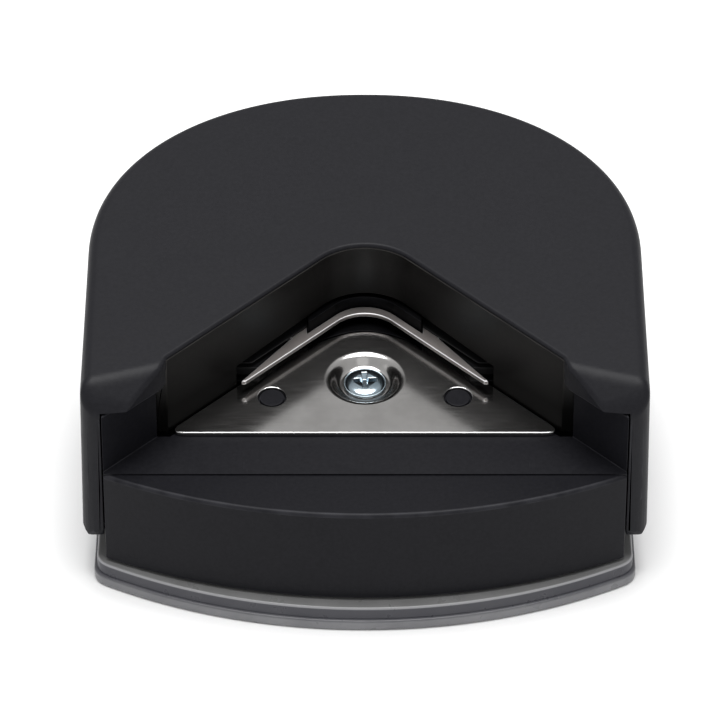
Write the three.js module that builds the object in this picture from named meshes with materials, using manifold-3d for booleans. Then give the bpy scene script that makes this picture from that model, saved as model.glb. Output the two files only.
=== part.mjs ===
// Desktop corner-rounder punch for paper and cards: a wedge-shaped base with a steel table, a lever
// hinged at the front corners, a radius punch and die at the tip of a V-shaped throat, and a snap-off
// chip tray under everything.
//
// Millimetres. +X right, +Y towards the back, +Z up. The origin is under the middle of the object, on
// the surface it stands on. The lever is at rest, held up by its springs.
import * as THREE from "three";
import { mergeVertices } from "three/addons/utils/BufferGeometryUtils.js";
import Module from "manifold-3d";

const wasm = await Module();
wasm.setup();

// ---- driving dimensions -------------------------------------------------------------------------
const TILT = THREE.MathUtils.degToRad(5); // rise of the table and of the lever's top towards the back
const SEAT = 0.05; // clearance between pieces that rest on each other
const SHAFT_CLEARANCE = 0.06; // radial, between a shaft and its hole
const BIG = 80; // reach of a cutting tool that passes right through

const BASE_HALF_WIDTH = 29.8;
const BASE_FRONT = -30.6; // middle of the bowed front face
const BASE_FRONT_RADIUS = 64.5;
const BASE_BOTTOM = 3.3;
const LEDGE_TOP = 15.3; // level front ledge
const DECK_FOOT = 15.5; // height of the sloping deck where it starts, a small step above the ledge
const DECK_START = -23.2;
const REAR_TOP = 15.2; // base surface hidden under the lever
const GUIDE_WALL_TOP = 23.3;
const GUIDE_WALL_BACK = -15.5;
const CAVITY_TOP = 12.4;
const FRONT_CAVITY_TOP = 7.4;
const FRONT_CAVITY_BACK = -14.6;
const BASE_WALL = 3.0;

const BACK_CENTRE = 3.2; // the rear outlines are rounded about this line
const BACK_FULLNESS = 2.12; // 2 would be an ellipse
const BACK_STEPS = 30;
const BASE_BACK_DEPTH = 26.0;
const LEVER_HALF_WIDTH = 32.5;
const LEVER_BACK_DEPTH = 29.2;
const LEVER_FRONT = -23.0;
const LEVER_TOP_AT_ORIGIN = 28.42; // height of the top surface's plane at y = 0
const LEVER_PLATE = 2.0;
const LEVER_WALL = 2.1;
const LEVER_EDGE_RADIUS = 1.0;
const ARM_INNER = 30.2;
const FOLD_LINE = -18.6; // where the lever's top turns down towards the front
const FRONT_LIP_BOTTOM = 23.55;
const FRONT_LIP_TOP = 23.8;
const SKIRT_BOTTOM = 10.6;

const PIVOT_Y = -19.2;
const PIVOT_Z = 10.6;
const PIVOT_RADIUS = 1.5;
const PRESS = THREE.MathUtils.degToRad(4); // full travel of the lever
const ARM_REACH = 3.8; // from the pivot to the arm's front and back faces
const ARM_DROP = 5.2; // from the pivot to the arm's lower face
const ARM_CORNER = 2.2;
const AXLE_HALF_LENGTH = 31.3;

// A V edge is the pair of lines |x| + y = reach, open towards the front, with a filleted tip.
const V_TABLE = { reach: 5.85, fillet: 6 };
const V_STRIPPER = { reach: 3.75, fillet: 4.5 };
const V_LINER = { reach: 6.1, fillet: 7 };
const V_LEVER = { reach: 6.3, fillet: 7.2 };
const V_BASE = { reach: 6.9, fillet: 7.5 };
// The lever's opening narrows in front of the liner, between these two lines, to this reach.
const MOUTH = { back: -16.2, front: -18.0, reach: 5.1 };
const CUT_RADIUS = 5; // radius left on the card
const CARD_CORNER = 5.27; // where the card's sharp corner comes to rest

const TABLE_FRONT = -16.9;
const TABLE_HALF_WIDTH = 21.9;
const SHEET = 0.5; // thickness of the table and of the stripper
const SLOT = 1.1; // height of the card slot
const TABLE_TOP = SEAT + SHEET;
const DIE_THICKNESS = 2.0;
const STRIPPER_BOTTOM = TABLE_TOP + SLOT;
const STRIPPER_TOP = STRIPPER_BOTTOM + SHEET;
const GUIDE_BOTTOM = STRIPPER_TOP + SEAT;
const GUIDE_FLANGE = 0.7;
const GUIDE_LIP = 0.15; // thin front part that the liner swings down over
const GUIDE_TOP = GUIDE_BOTTOM + GUIDE_FLANGE;
const STACK_HALF_WIDTH = 17.5;
const STACK_BACK = 13.5;
const STRIPPER_FRONT = -10.0;
const LEG_WIDTH = 1.5;
const LEG_TIP = 0.5; // along X, at the front end of each leg
const LEG_TAPER_START = -3.0;
const LEG_ROOT = -7.4; // in front of this line the stripper is two narrow legs beside its V edge
const STOP_FRONT = -7.0;
const ISLAND_MARGIN = 2.0;

const PEG = { x: 10.74, y: -10.75, radius: 1.5, hole: 1.65 };
const TABLE_SCREW_Y = -7.46;
const DIMPLE_RADIUS = 4.3;
const DIMPLE_DEPTH = 1.1;

const PUNCH_HALF_WIDTH = 6.6;
const PUNCH_BOTTOM = STRIPPER_BOTTOM + 0.2;
const PUNCH_LOBE_TOP = 3.5;
const PUNCH_BACK = 10.6;
const SHANK = { half: 4.5, front: 7.2, back: 10.6, top: 26.5 };
const DRIVE_PIN = { y: 8.9, z: 25.4, radius: 1.0, half: 8.3 };
const PIN_SLOT_HALF = 1.7;
const RIB = { inner: 6.7, outer: 8.5, front: 6.6, back: 11.2, bottom: 24.15 };

const LINER_WALL = 1.1;
const LINER_FRONT = -16.5;
const LINER_STEP = -8.7; // the liner is deep in front of this line and shallow behind it
const LINER_LOW = 0.35;
const LINER_ROOF = 1.7; // depth of its top edge under the lever's top plane

const GUIDE_SCREW = { x: 12.6, y: 0.6 };
const LINER_SCREW = { x: 20.0, y: -4.0 };
const LINER_TAB = 1.2;
const STOP_SCREW = { y: 19.5, head: 2.7, shaft: 1.5, headHeight: 1.6 };
const SPRING = { x: 23.0, y: 11.0, radius: 2.7, wire: 0.38, turns: 6, pocket: 1.2 };
const POST_CLEARANCE = 1.2; // the pressed lever swings its posts back by 1 mm inside the springs

const TRAY_HALF_WIDTH = 31.25;
const TRAY_FRONT = -32.4;
const TRAY_FRONT_RADIUS = 60;
const TRAY_BACK_DEPTH = 27.9;
const TRAY_RIM_TOP = 3.0;
const TRAY_STEP = 1.35;
const TRAY_STEP_INSET = 0.35;
const TRAY_FLOOR = 1.2;
const TRAY_WALL = 1.1;
const TRAY_WALL_TOP = 6.8;

// ---- materials ----------------------------------------------------------------------------------
const plastic = (color, roughness) => new THREE.MeshStandardMaterial({ color, roughness, metalness: 0 });
const metal = (color, roughness) => new THREE.MeshStandardMaterial({ color, roughness, metalness: 1 });
const leverBlack = plastic(0x2b2b2f, 0.6);
const linerBlack = plastic(0x262424, 0.35);
const baseBlack = plastic(0x242428, 0.55);
const guideBlack = plastic(0x1d1d1f, 0.5);
const satinSteel = metal(0x9a9a9c, 0.35);
const brightSteel = metal(0xc8c8ca, 0.25);
const hardSteel = metal(0x55565a, 0.4);
const springSteel = metal(0xa8a8a6, 0.3);
const smokedPlastic = plastic(0x8d8f94, 0.3);
smokedPlastic.transparent = true;
smokedPlastic.opacity = 0.7;

// ---- solids -------------------------------------------------------------------------------------
function solid(geometry) {
  const bare = geometry.clone();
  bare.deleteAttribute("normal");
  bare.deleteAttribute("uv");
  const merged = mergeVertices(bare, 1e-4);
  const vertProperties = new Float32Array(merged.attributes.position.array);
  const triVerts = new Uint32Array(merged.index.array);
  return new wasm.Manifold(new wasm.Mesh({ numProp: 3, vertProperties, triVerts }));
}

function geometryOf(body) {
  const mesh = body.getMesh();
  const geometry = new THREE.BufferGeometry();
  geometry.setAttribute("position", new THREE.BufferAttribute(new Float32Array(mesh.vertProperties), 3));
  geometry.setIndex(new THREE.BufferAttribute(new Uint32Array(mesh.triVerts), 1));
  geometry.computeVertexNormals();
  return geometry;
}

const join = (first, ...others) => others.reduce((body, other) => body.add(other), first);
const cut = (first, ...others) => others.reduce((body, other) => body.subtract(other), first);

// A plane that rises towards the back by TILT: heights are measured up from it.
function risingFrom(heightAtOrigin) {
  return new THREE.Matrix4().set(1, 0, 0, 0, 0, 1, 0, 0, 0, Math.tan(TILT), 1, heightAtOrigin, 0, 0, 0, 1);
}
const LEVEL = new THREE.Matrix4();
const DECK = risingFrom(DECK_FOOT - DECK_START * Math.tan(TILT));
const LEVER_TOP = risingFrom(LEVER_TOP_AT_ORIGIN);
// Turns a side view's (x, y) into the object's (y, z), with the extrusion along x.
const STANDING = new THREE.Matrix4().set(0, 0, 1, -BIG, 1, 0, 0, 0, 0, 1, 0, 0, 0, 0, 0, 1);
const heightOn = (plane, y) => new THREE.Vector3(0, y, 0).applyMatrix4(plane).z;

function prism(outline, low, high, plane = LEVEL, segments = 7) {
  const options = { depth: high - low, bevelEnabled: false, curveSegments: segments };
  return solid(new THREE.ExtrudeGeometry(outline, options).translate(0, 0, low).applyMatrix4(plane));
}

function block(x0, x1, y0, y1, low, high, plane = LEVEL) {
  const box = new THREE.BoxGeometry(x1 - x0, y1 - y0, high - low);
  box.translate((x0 + x1) / 2, (y0 + y1) / 2, (low + high) / 2);
  return solid(box.applyMatrix4(plane));
}

function rod(radius, low, high, x, y, segments = 18) {
  const geometry = new THREE.CylinderGeometry(radius, radius, high - low, segments).rotateX(Math.PI / 2);
  return solid(geometry.translate(x, y, (low + high) / 2));
}

function crossRod(radius, halfLength, y, z, segments = 20) {
  const geometry = new THREE.CylinderGeometry(radius, radius, 2 * halfLength, segments);
  return solid(geometry.rotateZ(Math.PI / 2).translate(0, y, z));
}

// A rod at right angles to the deck, from height low to height high above it.
function deckRod(radius, low, high, x, y, topRadius = radius, segments = 20) {
  const geometry = new THREE.CylinderGeometry(topRadius, radius, high - low, segments).rotateX(Math.PI / 2);
  geometry.translate(0, 0, (low + high) / 2).rotateX(TILT);
  return solid(geometry.translate(x, y, heightOn(DECK, y)));
}

// ---- outlines -----------------------------------------------------------------------------------
// The rounded back, slightly fuller than an ellipse, from right to left.
function addBack(outline, halfWidth, depth) {
  const power = 2 / BACK_FULLNESS;
  for (let i = 0; i <= BACK_STEPS; i++) {
    const angle = (Math.PI * i) / BACK_STEPS;
    const across = Math.sign(Math.cos(angle)) * Math.abs(Math.cos(angle)) ** power;
    outline.lineTo(halfWidth * across, BACK_CENTRE + depth * Math.abs(Math.sin(angle)) ** power);
  }
}

// Bowed front, straight sides and rounded back.
function bodyOutline(halfWidth, front, frontRadius, backDepth) {
  const centre = front + frontRadius;
  const swing = Math.asin(halfWidth / frontRadius);
  const outline = new THREE.Shape();
  outline.absarc(0, centre, frontRadius, -Math.PI / 2 - swing, -Math.PI / 2 + swing, false);
  addBack(outline, halfWidth, backDepth);
  outline.closePath();
  return outline;
}

const baseOutline = (inset) =>
  bodyOutline(
    BASE_HALF_WIDTH - inset,
    BASE_FRONT + inset,
    BASE_FRONT_RADIUS - inset,
    BASE_BACK_DEPTH - inset,
  );

const trayOutline = (inset) =>
  bodyOutline(
    TRAY_HALF_WIDTH - inset,
    TRAY_FRONT + inset,
    TRAY_FRONT_RADIUS - inset,
    TRAY_BACK_DEPTH - inset,
  );

// Adds the V edge to an outline, from its left leg at leftY to its right leg at rightY.
function addNotch(outline, { reach, fillet }, legY) {
  outline.lineTo(-(reach - legY), legY);
  outline.absarc(0, reach - fillet * Math.SQRT2, fillet, 0.75 * Math.PI, 0.25 * Math.PI, true);
  outline.lineTo(reach - legY, legY);
}

const offsetNotch = ({ reach, fillet }, by) => ({ reach: reach + by * Math.SQRT2, fillet: fillet + by });

// Everything in front of a V edge.
function openingOf(notch) {
  const outline = new THREE.Shape();
  outline.moveTo(0, -BIG);
  addNotch(outline, notch, -BIG);
  outline.closePath();
  return outline;
}

// The band between two V edges, from front to back.
function vBand(inner, outer, low, high, plane, front, back) {
  const whole = prism(openingOf(outer), low, high, plane);
  const band = cut(whole, prism(openingOf(inner), low - 1, high + 1, plane));
  return band.intersect(block(-BIG, BIG, front, back, low - 1, high + 1, plane));
}

function leverOutline() {
  const outline = new THREE.Shape();
  outline.moveTo(LEVER_HALF_WIDTH, LEVER_FRONT);
  addBack(outline, LEVER_HALF_WIDTH, LEVER_BACK_DEPTH);
  outline.lineTo(-LEVER_HALF_WIDTH, LEVER_FRONT);
  outline.lineTo(LEVER_FRONT - MOUTH.reach, LEVER_FRONT);
  outline.lineTo(MOUTH.front - MOUTH.reach, MOUTH.front);
  addNotch(outline, V_LEVER, MOUTH.back);
  outline.lineTo(MOUTH.reach - MOUTH.front, MOUTH.front);
  outline.lineTo(MOUTH.reach - LEVER_FRONT, LEVER_FRONT);
  outline.closePath();
  return outline;
}

// The stack of die, stripper and guide shares one outline: a V front, short legs and a square back.
function stackOutline(notch, front, margin = 0) {
  const half = STACK_HALF_WIDTH + margin;
  const outline = new THREE.Shape();
  outline.moveTo(half, front);
  outline.lineTo(half, STACK_BACK + margin);
  outline.lineTo(-half, STACK_BACK + margin);
  outline.lineTo(-half, front);
  addNotch(outline, notch, front);
  outline.closePath();
  return outline;
}

// Plan of the punch: rounded tip, 45 degree shoulders and a square back.
function punchOutline(clearance) {
  const half = PUNCH_HALF_WIDTH + clearance;
  const notch = { reach: CARD_CORNER - clearance * Math.SQRT2, fillet: CUT_RADIUS - clearance };
  const outline = new THREE.Shape();
  outline.moveTo(half, notch.reach - half);
  outline.lineTo(half, PUNCH_BACK + clearance);
  outline.lineTo(-half, PUNCH_BACK + clearance);
  addNotch(outline, notch, notch.reach - half);
  outline.closePath();
  return outline;
}

// The line where the table sheet ends and the die plate shows inside the card slot.
function dieFront(outline, shift) {
  outline.lineTo(-14.2, -8.0 - shift);
  outline.lineTo(-8.0, -2.7 - shift);
  outline.quadraticCurveTo(-3.0, 0.8 - shift, 0, 0.8 - shift);
  outline.quadraticCurveTo(3.0, 0.8 - shift, 8.0, -2.7 - shift);
  outline.lineTo(14.2, -8.0 - shift);
}

// ---- base ---------------------------------------------------------------------------------------
function baseHousing() {
  const full = prism(baseOutline(0), BASE_BOTTOM, GUIDE_WALL_TOP, LEVEL, 15);
  const throat = cut(prism(openingOf(V_BASE), 0, BIG, DECK), block(-BIG, BIG, -BIG, DECK_START, -BIG, BIG));
  const ledge = block(-BIG, BIG, -BIG, DECK_START, LEDGE_TOP, BIG);
  const island = prism(stackOutline(V_BASE, STRIPPER_FRONT, ISLAND_MARGIN), -BIG, BIG);
  const underLever = block(-BIG, BIG, GUIDE_WALL_BACK, BIG, REAR_TOP, BIG);
  const linerGroove = vBand(
    offsetNotch(V_TABLE, -0.3),
    offsetNotch(V_LINER, LINER_WALL + 1.4),
    -1.4,
    BIG,
    DECK,
    LINER_FRONT - 0.4,
    LINER_STEP + 0.6,
  );
  let body = cut(full, ledge);
  body = cut(body, throat);
  body = cut(body, cut(underLever, prism(openingOf(V_BASE), -BIG, BIG), island));
  body = cut(body, prism(stackOutline(V_BASE, STRIPPER_FRONT, ISLAND_MARGIN), 0, BIG, DECK));
  body = cut(body, linerGroove);

  const diePocket = new THREE.Shape();
  diePocket.moveTo(STACK_HALF_WIDTH + 0.15, -8.2);
  diePocket.lineTo(STACK_HALF_WIDTH + 0.15, STACK_BACK + 0.15);
  diePocket.lineTo(-STACK_HALF_WIDTH - 0.15, STACK_BACK + 0.15);
  diePocket.lineTo(-STACK_HALF_WIDTH - 0.15, -8.2);
  dieFront(diePocket, 0.15);
  diePocket.closePath();
  const dieBottom = TABLE_TOP - DIE_THICKNESS;
  const chipHole = prism(punchOutline(0.7), 0, BIG);
  const cavity = prism(baseOutline(BASE_WALL), 0, CAVITY_TOP, LEVEL, 15);
  const frontSolid = block(-BIG, BIG, -BIG, FRONT_CAVITY_BACK, FRONT_CAVITY_TOP, BIG);
  body = cut(body, prism(diePocket, dieBottom - SEAT, BIG, DECK), cut(cavity, frontSolid), chipHole);

  const bore = PIVOT_RADIUS + SHAFT_CLEARANCE;
  body = cut(body, crossRod(bore, BIG, PIVOT_Y, PIVOT_Z));
  body = cut(body, rod(STOP_SCREW.shaft + 0.8, 0, BIG, 0, STOP_SCREW.y));
  body = cut(body, deckRod(DIMPLE_RADIUS + 0.4, -DIMPLE_DEPTH - 0.3, 1, 0, TABLE_SCREW_Y));
  body = cut(body, deckRod(1.0, -4.2, 1, 0, TABLE_SCREW_Y));
  for (const side of [-1, 1]) {
    const peg = deckRod(PEG.radius, -0.5, TABLE_TOP - 0.1, side * PEG.x, PEG.y);
    const pilot = deckRod(1.0, -4.6, 1, side * GUIDE_SCREW.x, GUIDE_SCREW.y);
    const springSeat = rod(SPRING.radius + 0.5, REAR_TOP - SPRING.pocket, BIG, side * SPRING.x, SPRING.y);
    body = cut(join(body, peg), pilot, springSeat);
  }
  return body;
}

// ---- steel stack --------------------------------------------------------------------------------
function tablePlate() {
  const outline = new THREE.Shape();
  const corner = 1.5;
  const side = TABLE_HALF_WIDTH;
  outline.moveTo(-side + corner, TABLE_FRONT);
  outline.lineTo(side - corner, TABLE_FRONT);
  outline.quadraticCurveTo(side + 0.6, TABLE_FRONT, side - 0.35, V_TABLE.reach - side + 0.35);
  outline.lineTo(14.2, V_TABLE.reach - 14.2);
  outline.lineTo(14.2, -8.0 - 0.2);
  outline.lineTo(8.0, -2.7 - 0.2);
  outline.quadraticCurveTo(3.0, 0.6, 0, 0.6);
  outline.quadraticCurveTo(-3.0, 0.6, -8.0, -2.7 - 0.2);
  outline.lineTo(-14.2, -8.0 - 0.2);
  outline.lineTo(-14.2, V_TABLE.reach - 14.2);
  outline.lineTo(-side + 0.35, V_TABLE.reach - side + 0.35);
  outline.quadraticCurveTo(-side - 0.6, TABLE_FRONT, -side + corner, TABLE_FRONT);
  const screwHole = 1.4;
  let plate = prism(outline, SEAT, TABLE_TOP, DECK, 6);
  const bowl = deckRod(screwHole + SHEET, SEAT - DIMPLE_DEPTH, SEAT, 0, TABLE_SCREW_Y, DIMPLE_RADIUS + SHEET / 2);
  const hollow = deckRod(2.9, TABLE_TOP - DIMPLE_DEPTH, TABLE_TOP + 0.01, 0, TABLE_SCREW_Y, DIMPLE_RADIUS);
  const floor = deckRod(3.2, SEAT - DIMPLE_DEPTH, TABLE_TOP - DIMPLE_DEPTH, 0, TABLE_SCREW_Y);
  plate = cut(join(plate, bowl, floor), hollow, deckRod(screwHole, -3, 3, 0, TABLE_SCREW_Y));
  for (const sign of [-1, 1]) plate = cut(plate, deckRod(PEG.hole, -1, 2, sign * PEG.x, PEG.y));
  return plate;
}

function diePlate() {
  const outline = new THREE.Shape();
  outline.moveTo(STACK_HALF_WIDTH, -8.0);
  outline.lineTo(STACK_HALF_WIDTH, STACK_BACK);
  outline.lineTo(-STACK_HALF_WIDTH, STACK_BACK);
  outline.lineTo(-STACK_HALF_WIDTH, -8.0);
  dieFront(outline, 0);
  outline.closePath();
  const plate = prism(outline, TABLE_TOP - DIE_THICKNESS, TABLE_TOP, DECK, 6);
  const screws = [-1, 1].map((side) => deckRod(1.3, -3, 3, side * GUIDE_SCREW.x, GUIDE_SCREW.y));
  return cut(plate, prism(punchOutline(0.06), -BIG, BIG), ...screws);
}

function cardStop(side) {
  const back = STACK_BACK;
  const inner = PUNCH_HALF_WIDTH + 0.4;
  const outline = new THREE.Shape();
  outline.moveTo(side * inner, CARD_CORNER - inner);
  outline.lineTo(side * (CARD_CORNER - STOP_FRONT), STOP_FRONT);
  outline.lineTo(side * STACK_HALF_WIDTH, STOP_FRONT);
  outline.lineTo(side * STACK_HALF_WIDTH, back);
  outline.lineTo(side * inner, back);
  outline.closePath();
  const stop = prism(outline, TABLE_TOP + SEAT, STRIPPER_BOTTOM - SEAT, DECK);
  return cut(stop, deckRod(1.3, -3, 3, side * GUIDE_SCREW.x, GUIDE_SCREW.y));
}

function stripperPlate() {
  const sheet = prism(stackOutline(V_STRIPPER, LEG_ROOT), STRIPPER_BOTTOM, STRIPPER_TOP, DECK);
  const outer = offsetNotch(V_STRIPPER, LEG_WIDTH);
  const legs = vBand(V_STRIPPER, outer, STRIPPER_BOTTOM, STRIPPER_TOP, DECK, STRIPPER_FRONT, LEG_ROOT + 0.1);
  const screws = [-1, 1].map((side) => deckRod(1.3, -3, 6, side * GUIDE_SCREW.x, GUIDE_SCREW.y));
  return cut(join(sheet, legs), prism(punchOutline(0.14), -BIG, BIG), ...legTrims(), ...screws);
}

// Two wedges beside the V edge, which narrow each leg towards its front end.
function legTrims() {
  const tip = V_STRIPPER.reach - STRIPPER_FRONT + LEG_TIP;
  const liner = V_LINER.reach + 1.2;
  return [-1, 1].map((side) => {
    const points = [
      [tip, STRIPPER_FRONT - 1],
      [tip, STRIPPER_FRONT],
      [V_STRIPPER.reach - LEG_TAPER_START + 1.6, LEG_TAPER_START],
      [liner - LEG_TAPER_START, LEG_TAPER_START],
      [liner - STRIPPER_FRONT + 1, STRIPPER_FRONT - 1],
    ];
    const outline = new THREE.Shape(points.map(([x, y]) => new THREE.Vector2(side * x, y)));
    return prism(outline, -BIG, BIG);
  });
}

function punchGuide() {
  const behindLiner = offsetNotch(V_LINER, LINER_WALL + 1.0); // the liner swings back as it is pressed
  const flange = prism(stackOutline(behindLiner, STOP_FRONT), GUIDE_BOTTOM, GUIDE_TOP, DECK);
  const lip = prism(stackOutline(V_LINER, STOP_FRONT), GUIDE_BOTTOM, GUIDE_BOTTOM + GUIDE_LIP, DECK);
  const screws = [-1, 1].map((side) => deckRod(1.3, -3, 6, side * GUIDE_SCREW.x, GUIDE_SCREW.y));
  return cut(join(flange, lip), prism(punchOutline(0.14), 0, BIG), ...screws);
}

// ---- punch --------------------------------------------------------------------------------------
function punchBlade() {
  const lobe = prism(punchOutline(0), PUNCH_BOTTOM, PUNCH_LOBE_TOP, DECK);
  const foot = heightOn(DECK, SHANK.front) + 3;
  const shank = block(-SHANK.half, SHANK.half, SHANK.front, SHANK.back, foot, SHANK.top);
  const low = DRIVE_PIN.z - DRIVE_PIN.radius - SHAFT_CLEARANCE;
  const high = DRIVE_PIN.z + DRIVE_PIN.radius + SHAFT_CLEARANCE;
  const opening = block(-BIG, BIG, DRIVE_PIN.y - PIN_SLOT_HALF + 0.4, SHANK.back + 1, low, high);
  return cut(join(lobe, shank), opening);
}

// ---- lever --------------------------------------------------------------------------------------
function leverCover() {
  const depth = 24;
  const radius = LEVER_EDGE_RADIUS;
  const options = {
    depth: depth - 2 * radius,
    bevelThickness: radius,
    bevelSize: radius,
    bevelOffset: -radius,
    bevelSegments: 2,
    curveSegments: 15,
  };
  const rounded = new THREE.ExtrudeGeometry(leverOutline(), options);
  let body = solid(rounded.translate(0, 0, radius - depth).applyMatrix4(LEVER_TOP));

  // Side view of the lever: an arm with rounded lower corners at the front, and a rising lower edge.
  const rear = LEVER_BACK_DEPTH + BACK_CENTRE + 5;
  const heel = PIVOT_Y + ARM_REACH;
  const toe = PIVOT_Y - ARM_REACH;
  const sole = PIVOT_Z - ARM_DROP;
  const profile = new THREE.Shape();
  profile.moveTo(heel, SKIRT_BOTTOM);
  profile.lineTo(rear, SKIRT_BOTTOM + (rear - heel) * Math.tan(TILT));
  profile.lineTo(rear, 2 * LEVER_TOP_AT_ORIGIN);
  profile.lineTo(FOLD_LINE, 2 * LEVER_TOP_AT_ORIGIN);
  profile.lineTo(FOLD_LINE, heightOn(LEVER_TOP, FOLD_LINE));
  profile.lineTo(toe, FRONT_LIP_TOP);
  profile.absarc(toe + ARM_CORNER, sole + ARM_CORNER, ARM_CORNER, Math.PI, 1.5 * Math.PI, false);
  profile.absarc(heel - ARM_CORNER, sole + ARM_CORNER, ARM_CORNER, 1.5 * Math.PI, 2 * Math.PI, false);
  profile.closePath();
  const side = new THREE.ExtrudeGeometry(profile, { depth: 2 * BIG, bevelEnabled: false, curveSegments: 10 });
  body = body.intersect(solid(side.applyMatrix4(STANDING)));

  const inside = new THREE.Shape();
  inside.moveTo(ARM_INNER, LEVER_FRONT + LEVER_WALL);
  addBack(inside, ARM_INNER, LEVER_BACK_DEPTH - LEVER_WALL);
  inside.lineTo(-ARM_INNER, LEVER_FRONT + LEVER_WALL);
  addNotch(inside, offsetNotch(V_LEVER, 1.6), LEVER_FRONT + LEVER_WALL);
  inside.closePath();
  body = cut(body, prism(inside, -BIG, -LEVER_PLATE, LEVER_TOP, 15));

  const channel = vBand(
    offsetNotch(V_LEVER, -2),
    offsetNotch(V_LEVER, 1.7),
    -BIG,
    -LINER_ROOF,
    LEVER_TOP,
    LINER_FRONT - 0.1,
    BIG,
  );
  const overBase = block(-ARM_INNER, ARM_INNER, -BIG, BIG, -BIG, FRONT_LIP_BOTTOM);
  body = cut(body, channel, overBase.intersect(block(-BIG, BIG, -BIG, 0, -BIG, BIG)));

  const roof = (y) => heightOn(LEVER_TOP, y) - LEVER_PLATE + 0.5;
  const stopBoss = rod(3.2, 19.0, roof(STOP_SCREW.y), 0, STOP_SCREW.y);
  body = cut(join(body, stopBoss), rod(STOP_SCREW.shaft, 0, 24.2, 0, STOP_SCREW.y));
  body = cut(body, crossRod(PIVOT_RADIUS + SHAFT_CLEARANCE, AXLE_HALF_LENGTH + 0.1, PIVOT_Y, PIVOT_Z));
  for (const sign of [-1, 1]) {
    const centre = (sign * (RIB.inner + RIB.outer)) / 2;
    const half = (RIB.outer - RIB.inner) / 2;
    const rib = block(centre - half, centre + half, RIB.front, RIB.back, RIB.bottom, roof(RIB.front));
    const x = sign * SPRING.x;
    const post = rod(SPRING.radius - SPRING.wire - POST_CLEARANCE, 24.5, roof(SPRING.y), x, SPRING.y);
    const linerBoss = rod(2.6, linerTabTop() + SEAT, roof(LINER_SCREW.y), sign * LINER_SCREW.x, LINER_SCREW.y);
    const linerPilot = rod(0.85, 0, linerTabTop() + 2.4, sign * LINER_SCREW.x, LINER_SCREW.y);
    body = cut(join(body, rib, post, linerBoss), linerPilot);
  }
  return cut(body, crossRod(DRIVE_PIN.radius + 0.02, DRIVE_PIN.half + 0.1, DRIVE_PIN.y, DRIVE_PIN.z));
}

function linerTabTop() {
  return heightOn(LEVER_TOP, LINER_SCREW.y) - LEVER_PLATE - 0.6;
}

function throatLiner() {
  const outer = offsetNotch(V_LINER, LINER_WALL);
  const wall = vBand(V_LINER, outer, -20, -LINER_ROOF - SEAT, LEVER_TOP, LINER_FRONT, BIG);
  // Behind the step the lower edge stays clear of the stripper at every lever angle.
  const below = new THREE.Shape();
  const edge = (y) => heightOn(DECK, y) + STRIPPER_TOP + 0.3 + Math.sin(PRESS) * (y - PIVOT_Y);
  below.moveTo(LINER_STEP, -BIG);
  below.lineTo(BIG, -BIG);
  below.lineTo(BIG, edge(BIG));
  below.lineTo(LINER_STEP, edge(LINER_STEP));
  below.closePath();
  const shallow = new THREE.ExtrudeGeometry(below, { depth: 2 * BIG, bevelEnabled: false });
  const deep = block(-BIG, BIG, -BIG, BIG, -BIG, LINER_LOW, DECK);
  let body = cut(wall, solid(shallow.applyMatrix4(STANDING)), deep);
  const top = linerTabTop();
  for (const side of [-1, 1]) {
    const tab = new THREE.Shape();
    tab.absarc(LINER_SCREW.x, LINER_SCREW.y, 2.6, -0.25 * Math.PI, 0.75 * Math.PI, false);
    tab.lineTo(V_LINER.reach + 0.8 + 5.9, -5.9);
    tab.lineTo(V_LINER.reach + 0.8 + 9.6, -9.6);
    tab.closePath();
    const plate = new THREE.ExtrudeGeometry(tab, { depth: LINER_TAB, bevelEnabled: false, curveSegments: 8 });
    plate.translate(0, 0, top - LINER_TAB);
    let half = solid(plate);
    if (side < 0) half = half.mirror([1, 0, 0]);
    body = cut(join(body, half), rod(1.1, 0, BIG, side * LINER_SCREW.x, LINER_SCREW.y));
  }
  return body;
}

// ---- fasteners, pins and springs ----------------------------------------------------------------
// Cross-recessed pan-head screw: the head stands on z = 0 and the shank points down.
function panScrew(headRadius, headHeight, shankRadius, length) {
  const crown = new THREE.Path();
  crown.moveTo(0, -length);
  crown.lineTo(shankRadius * 0.7, -length);
  crown.lineTo(shankRadius, -length + shankRadius * 0.6);
  crown.lineTo(shankRadius, 0);
  crown.lineTo(headRadius, 0);
  crown.lineTo(headRadius, headHeight * 0.45);
  crown.quadraticCurveTo(headRadius * 0.92, headHeight * 0.92, headRadius * 0.45, headHeight);
  crown.lineTo(0, headHeight);
  const turned = solid(new THREE.LatheGeometry(crown.getPoints(3), 18).rotateX(Math.PI / 2));
  const arm = headRadius * 0.55;
  const slit = headRadius * 0.11;
  const low = headHeight * 0.35;
  return cut(
    turned,
    block(-arm, arm, -slit, slit, low, headHeight + 1),
    block(-slit, slit, -arm, arm, low, headHeight + 1),
  );
}

class Helix extends THREE.Curve {
  constructor(radius, height, turns) {
    super();
    this.radius = radius;
    this.height = height;
    this.turns = turns;
  }

  // The pitch closes up at both ends, as on a spring with closed end coils.
  getPoint(t, target = new THREE.Vector3()) {
    const angle = 2 * Math.PI * this.turns * t;
    const rise = t + Math.sin(2 * Math.PI * t - Math.PI) / (2 * Math.PI) * 0.55;
    return target.set(this.radius * Math.cos(angle), this.radius * Math.sin(angle), this.height * rise);
  }
}

function springGeometry(length) {
  const wire = new THREE.Shape();
  wire.absarc(0, 0, SPRING.wire, 0, 2 * Math.PI, false);
  const path = new Helix(SPRING.radius, length - 2 * SPRING.wire, SPRING.turns);
  const options = { steps: SPRING.turns * 11, extrudePath: path, bevelEnabled: false, curveSegments: 3 };
  return geometryOf(solid(new THREE.ExtrudeGeometry(wire, options).translate(0, 0, SPRING.wire)));
}

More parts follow.
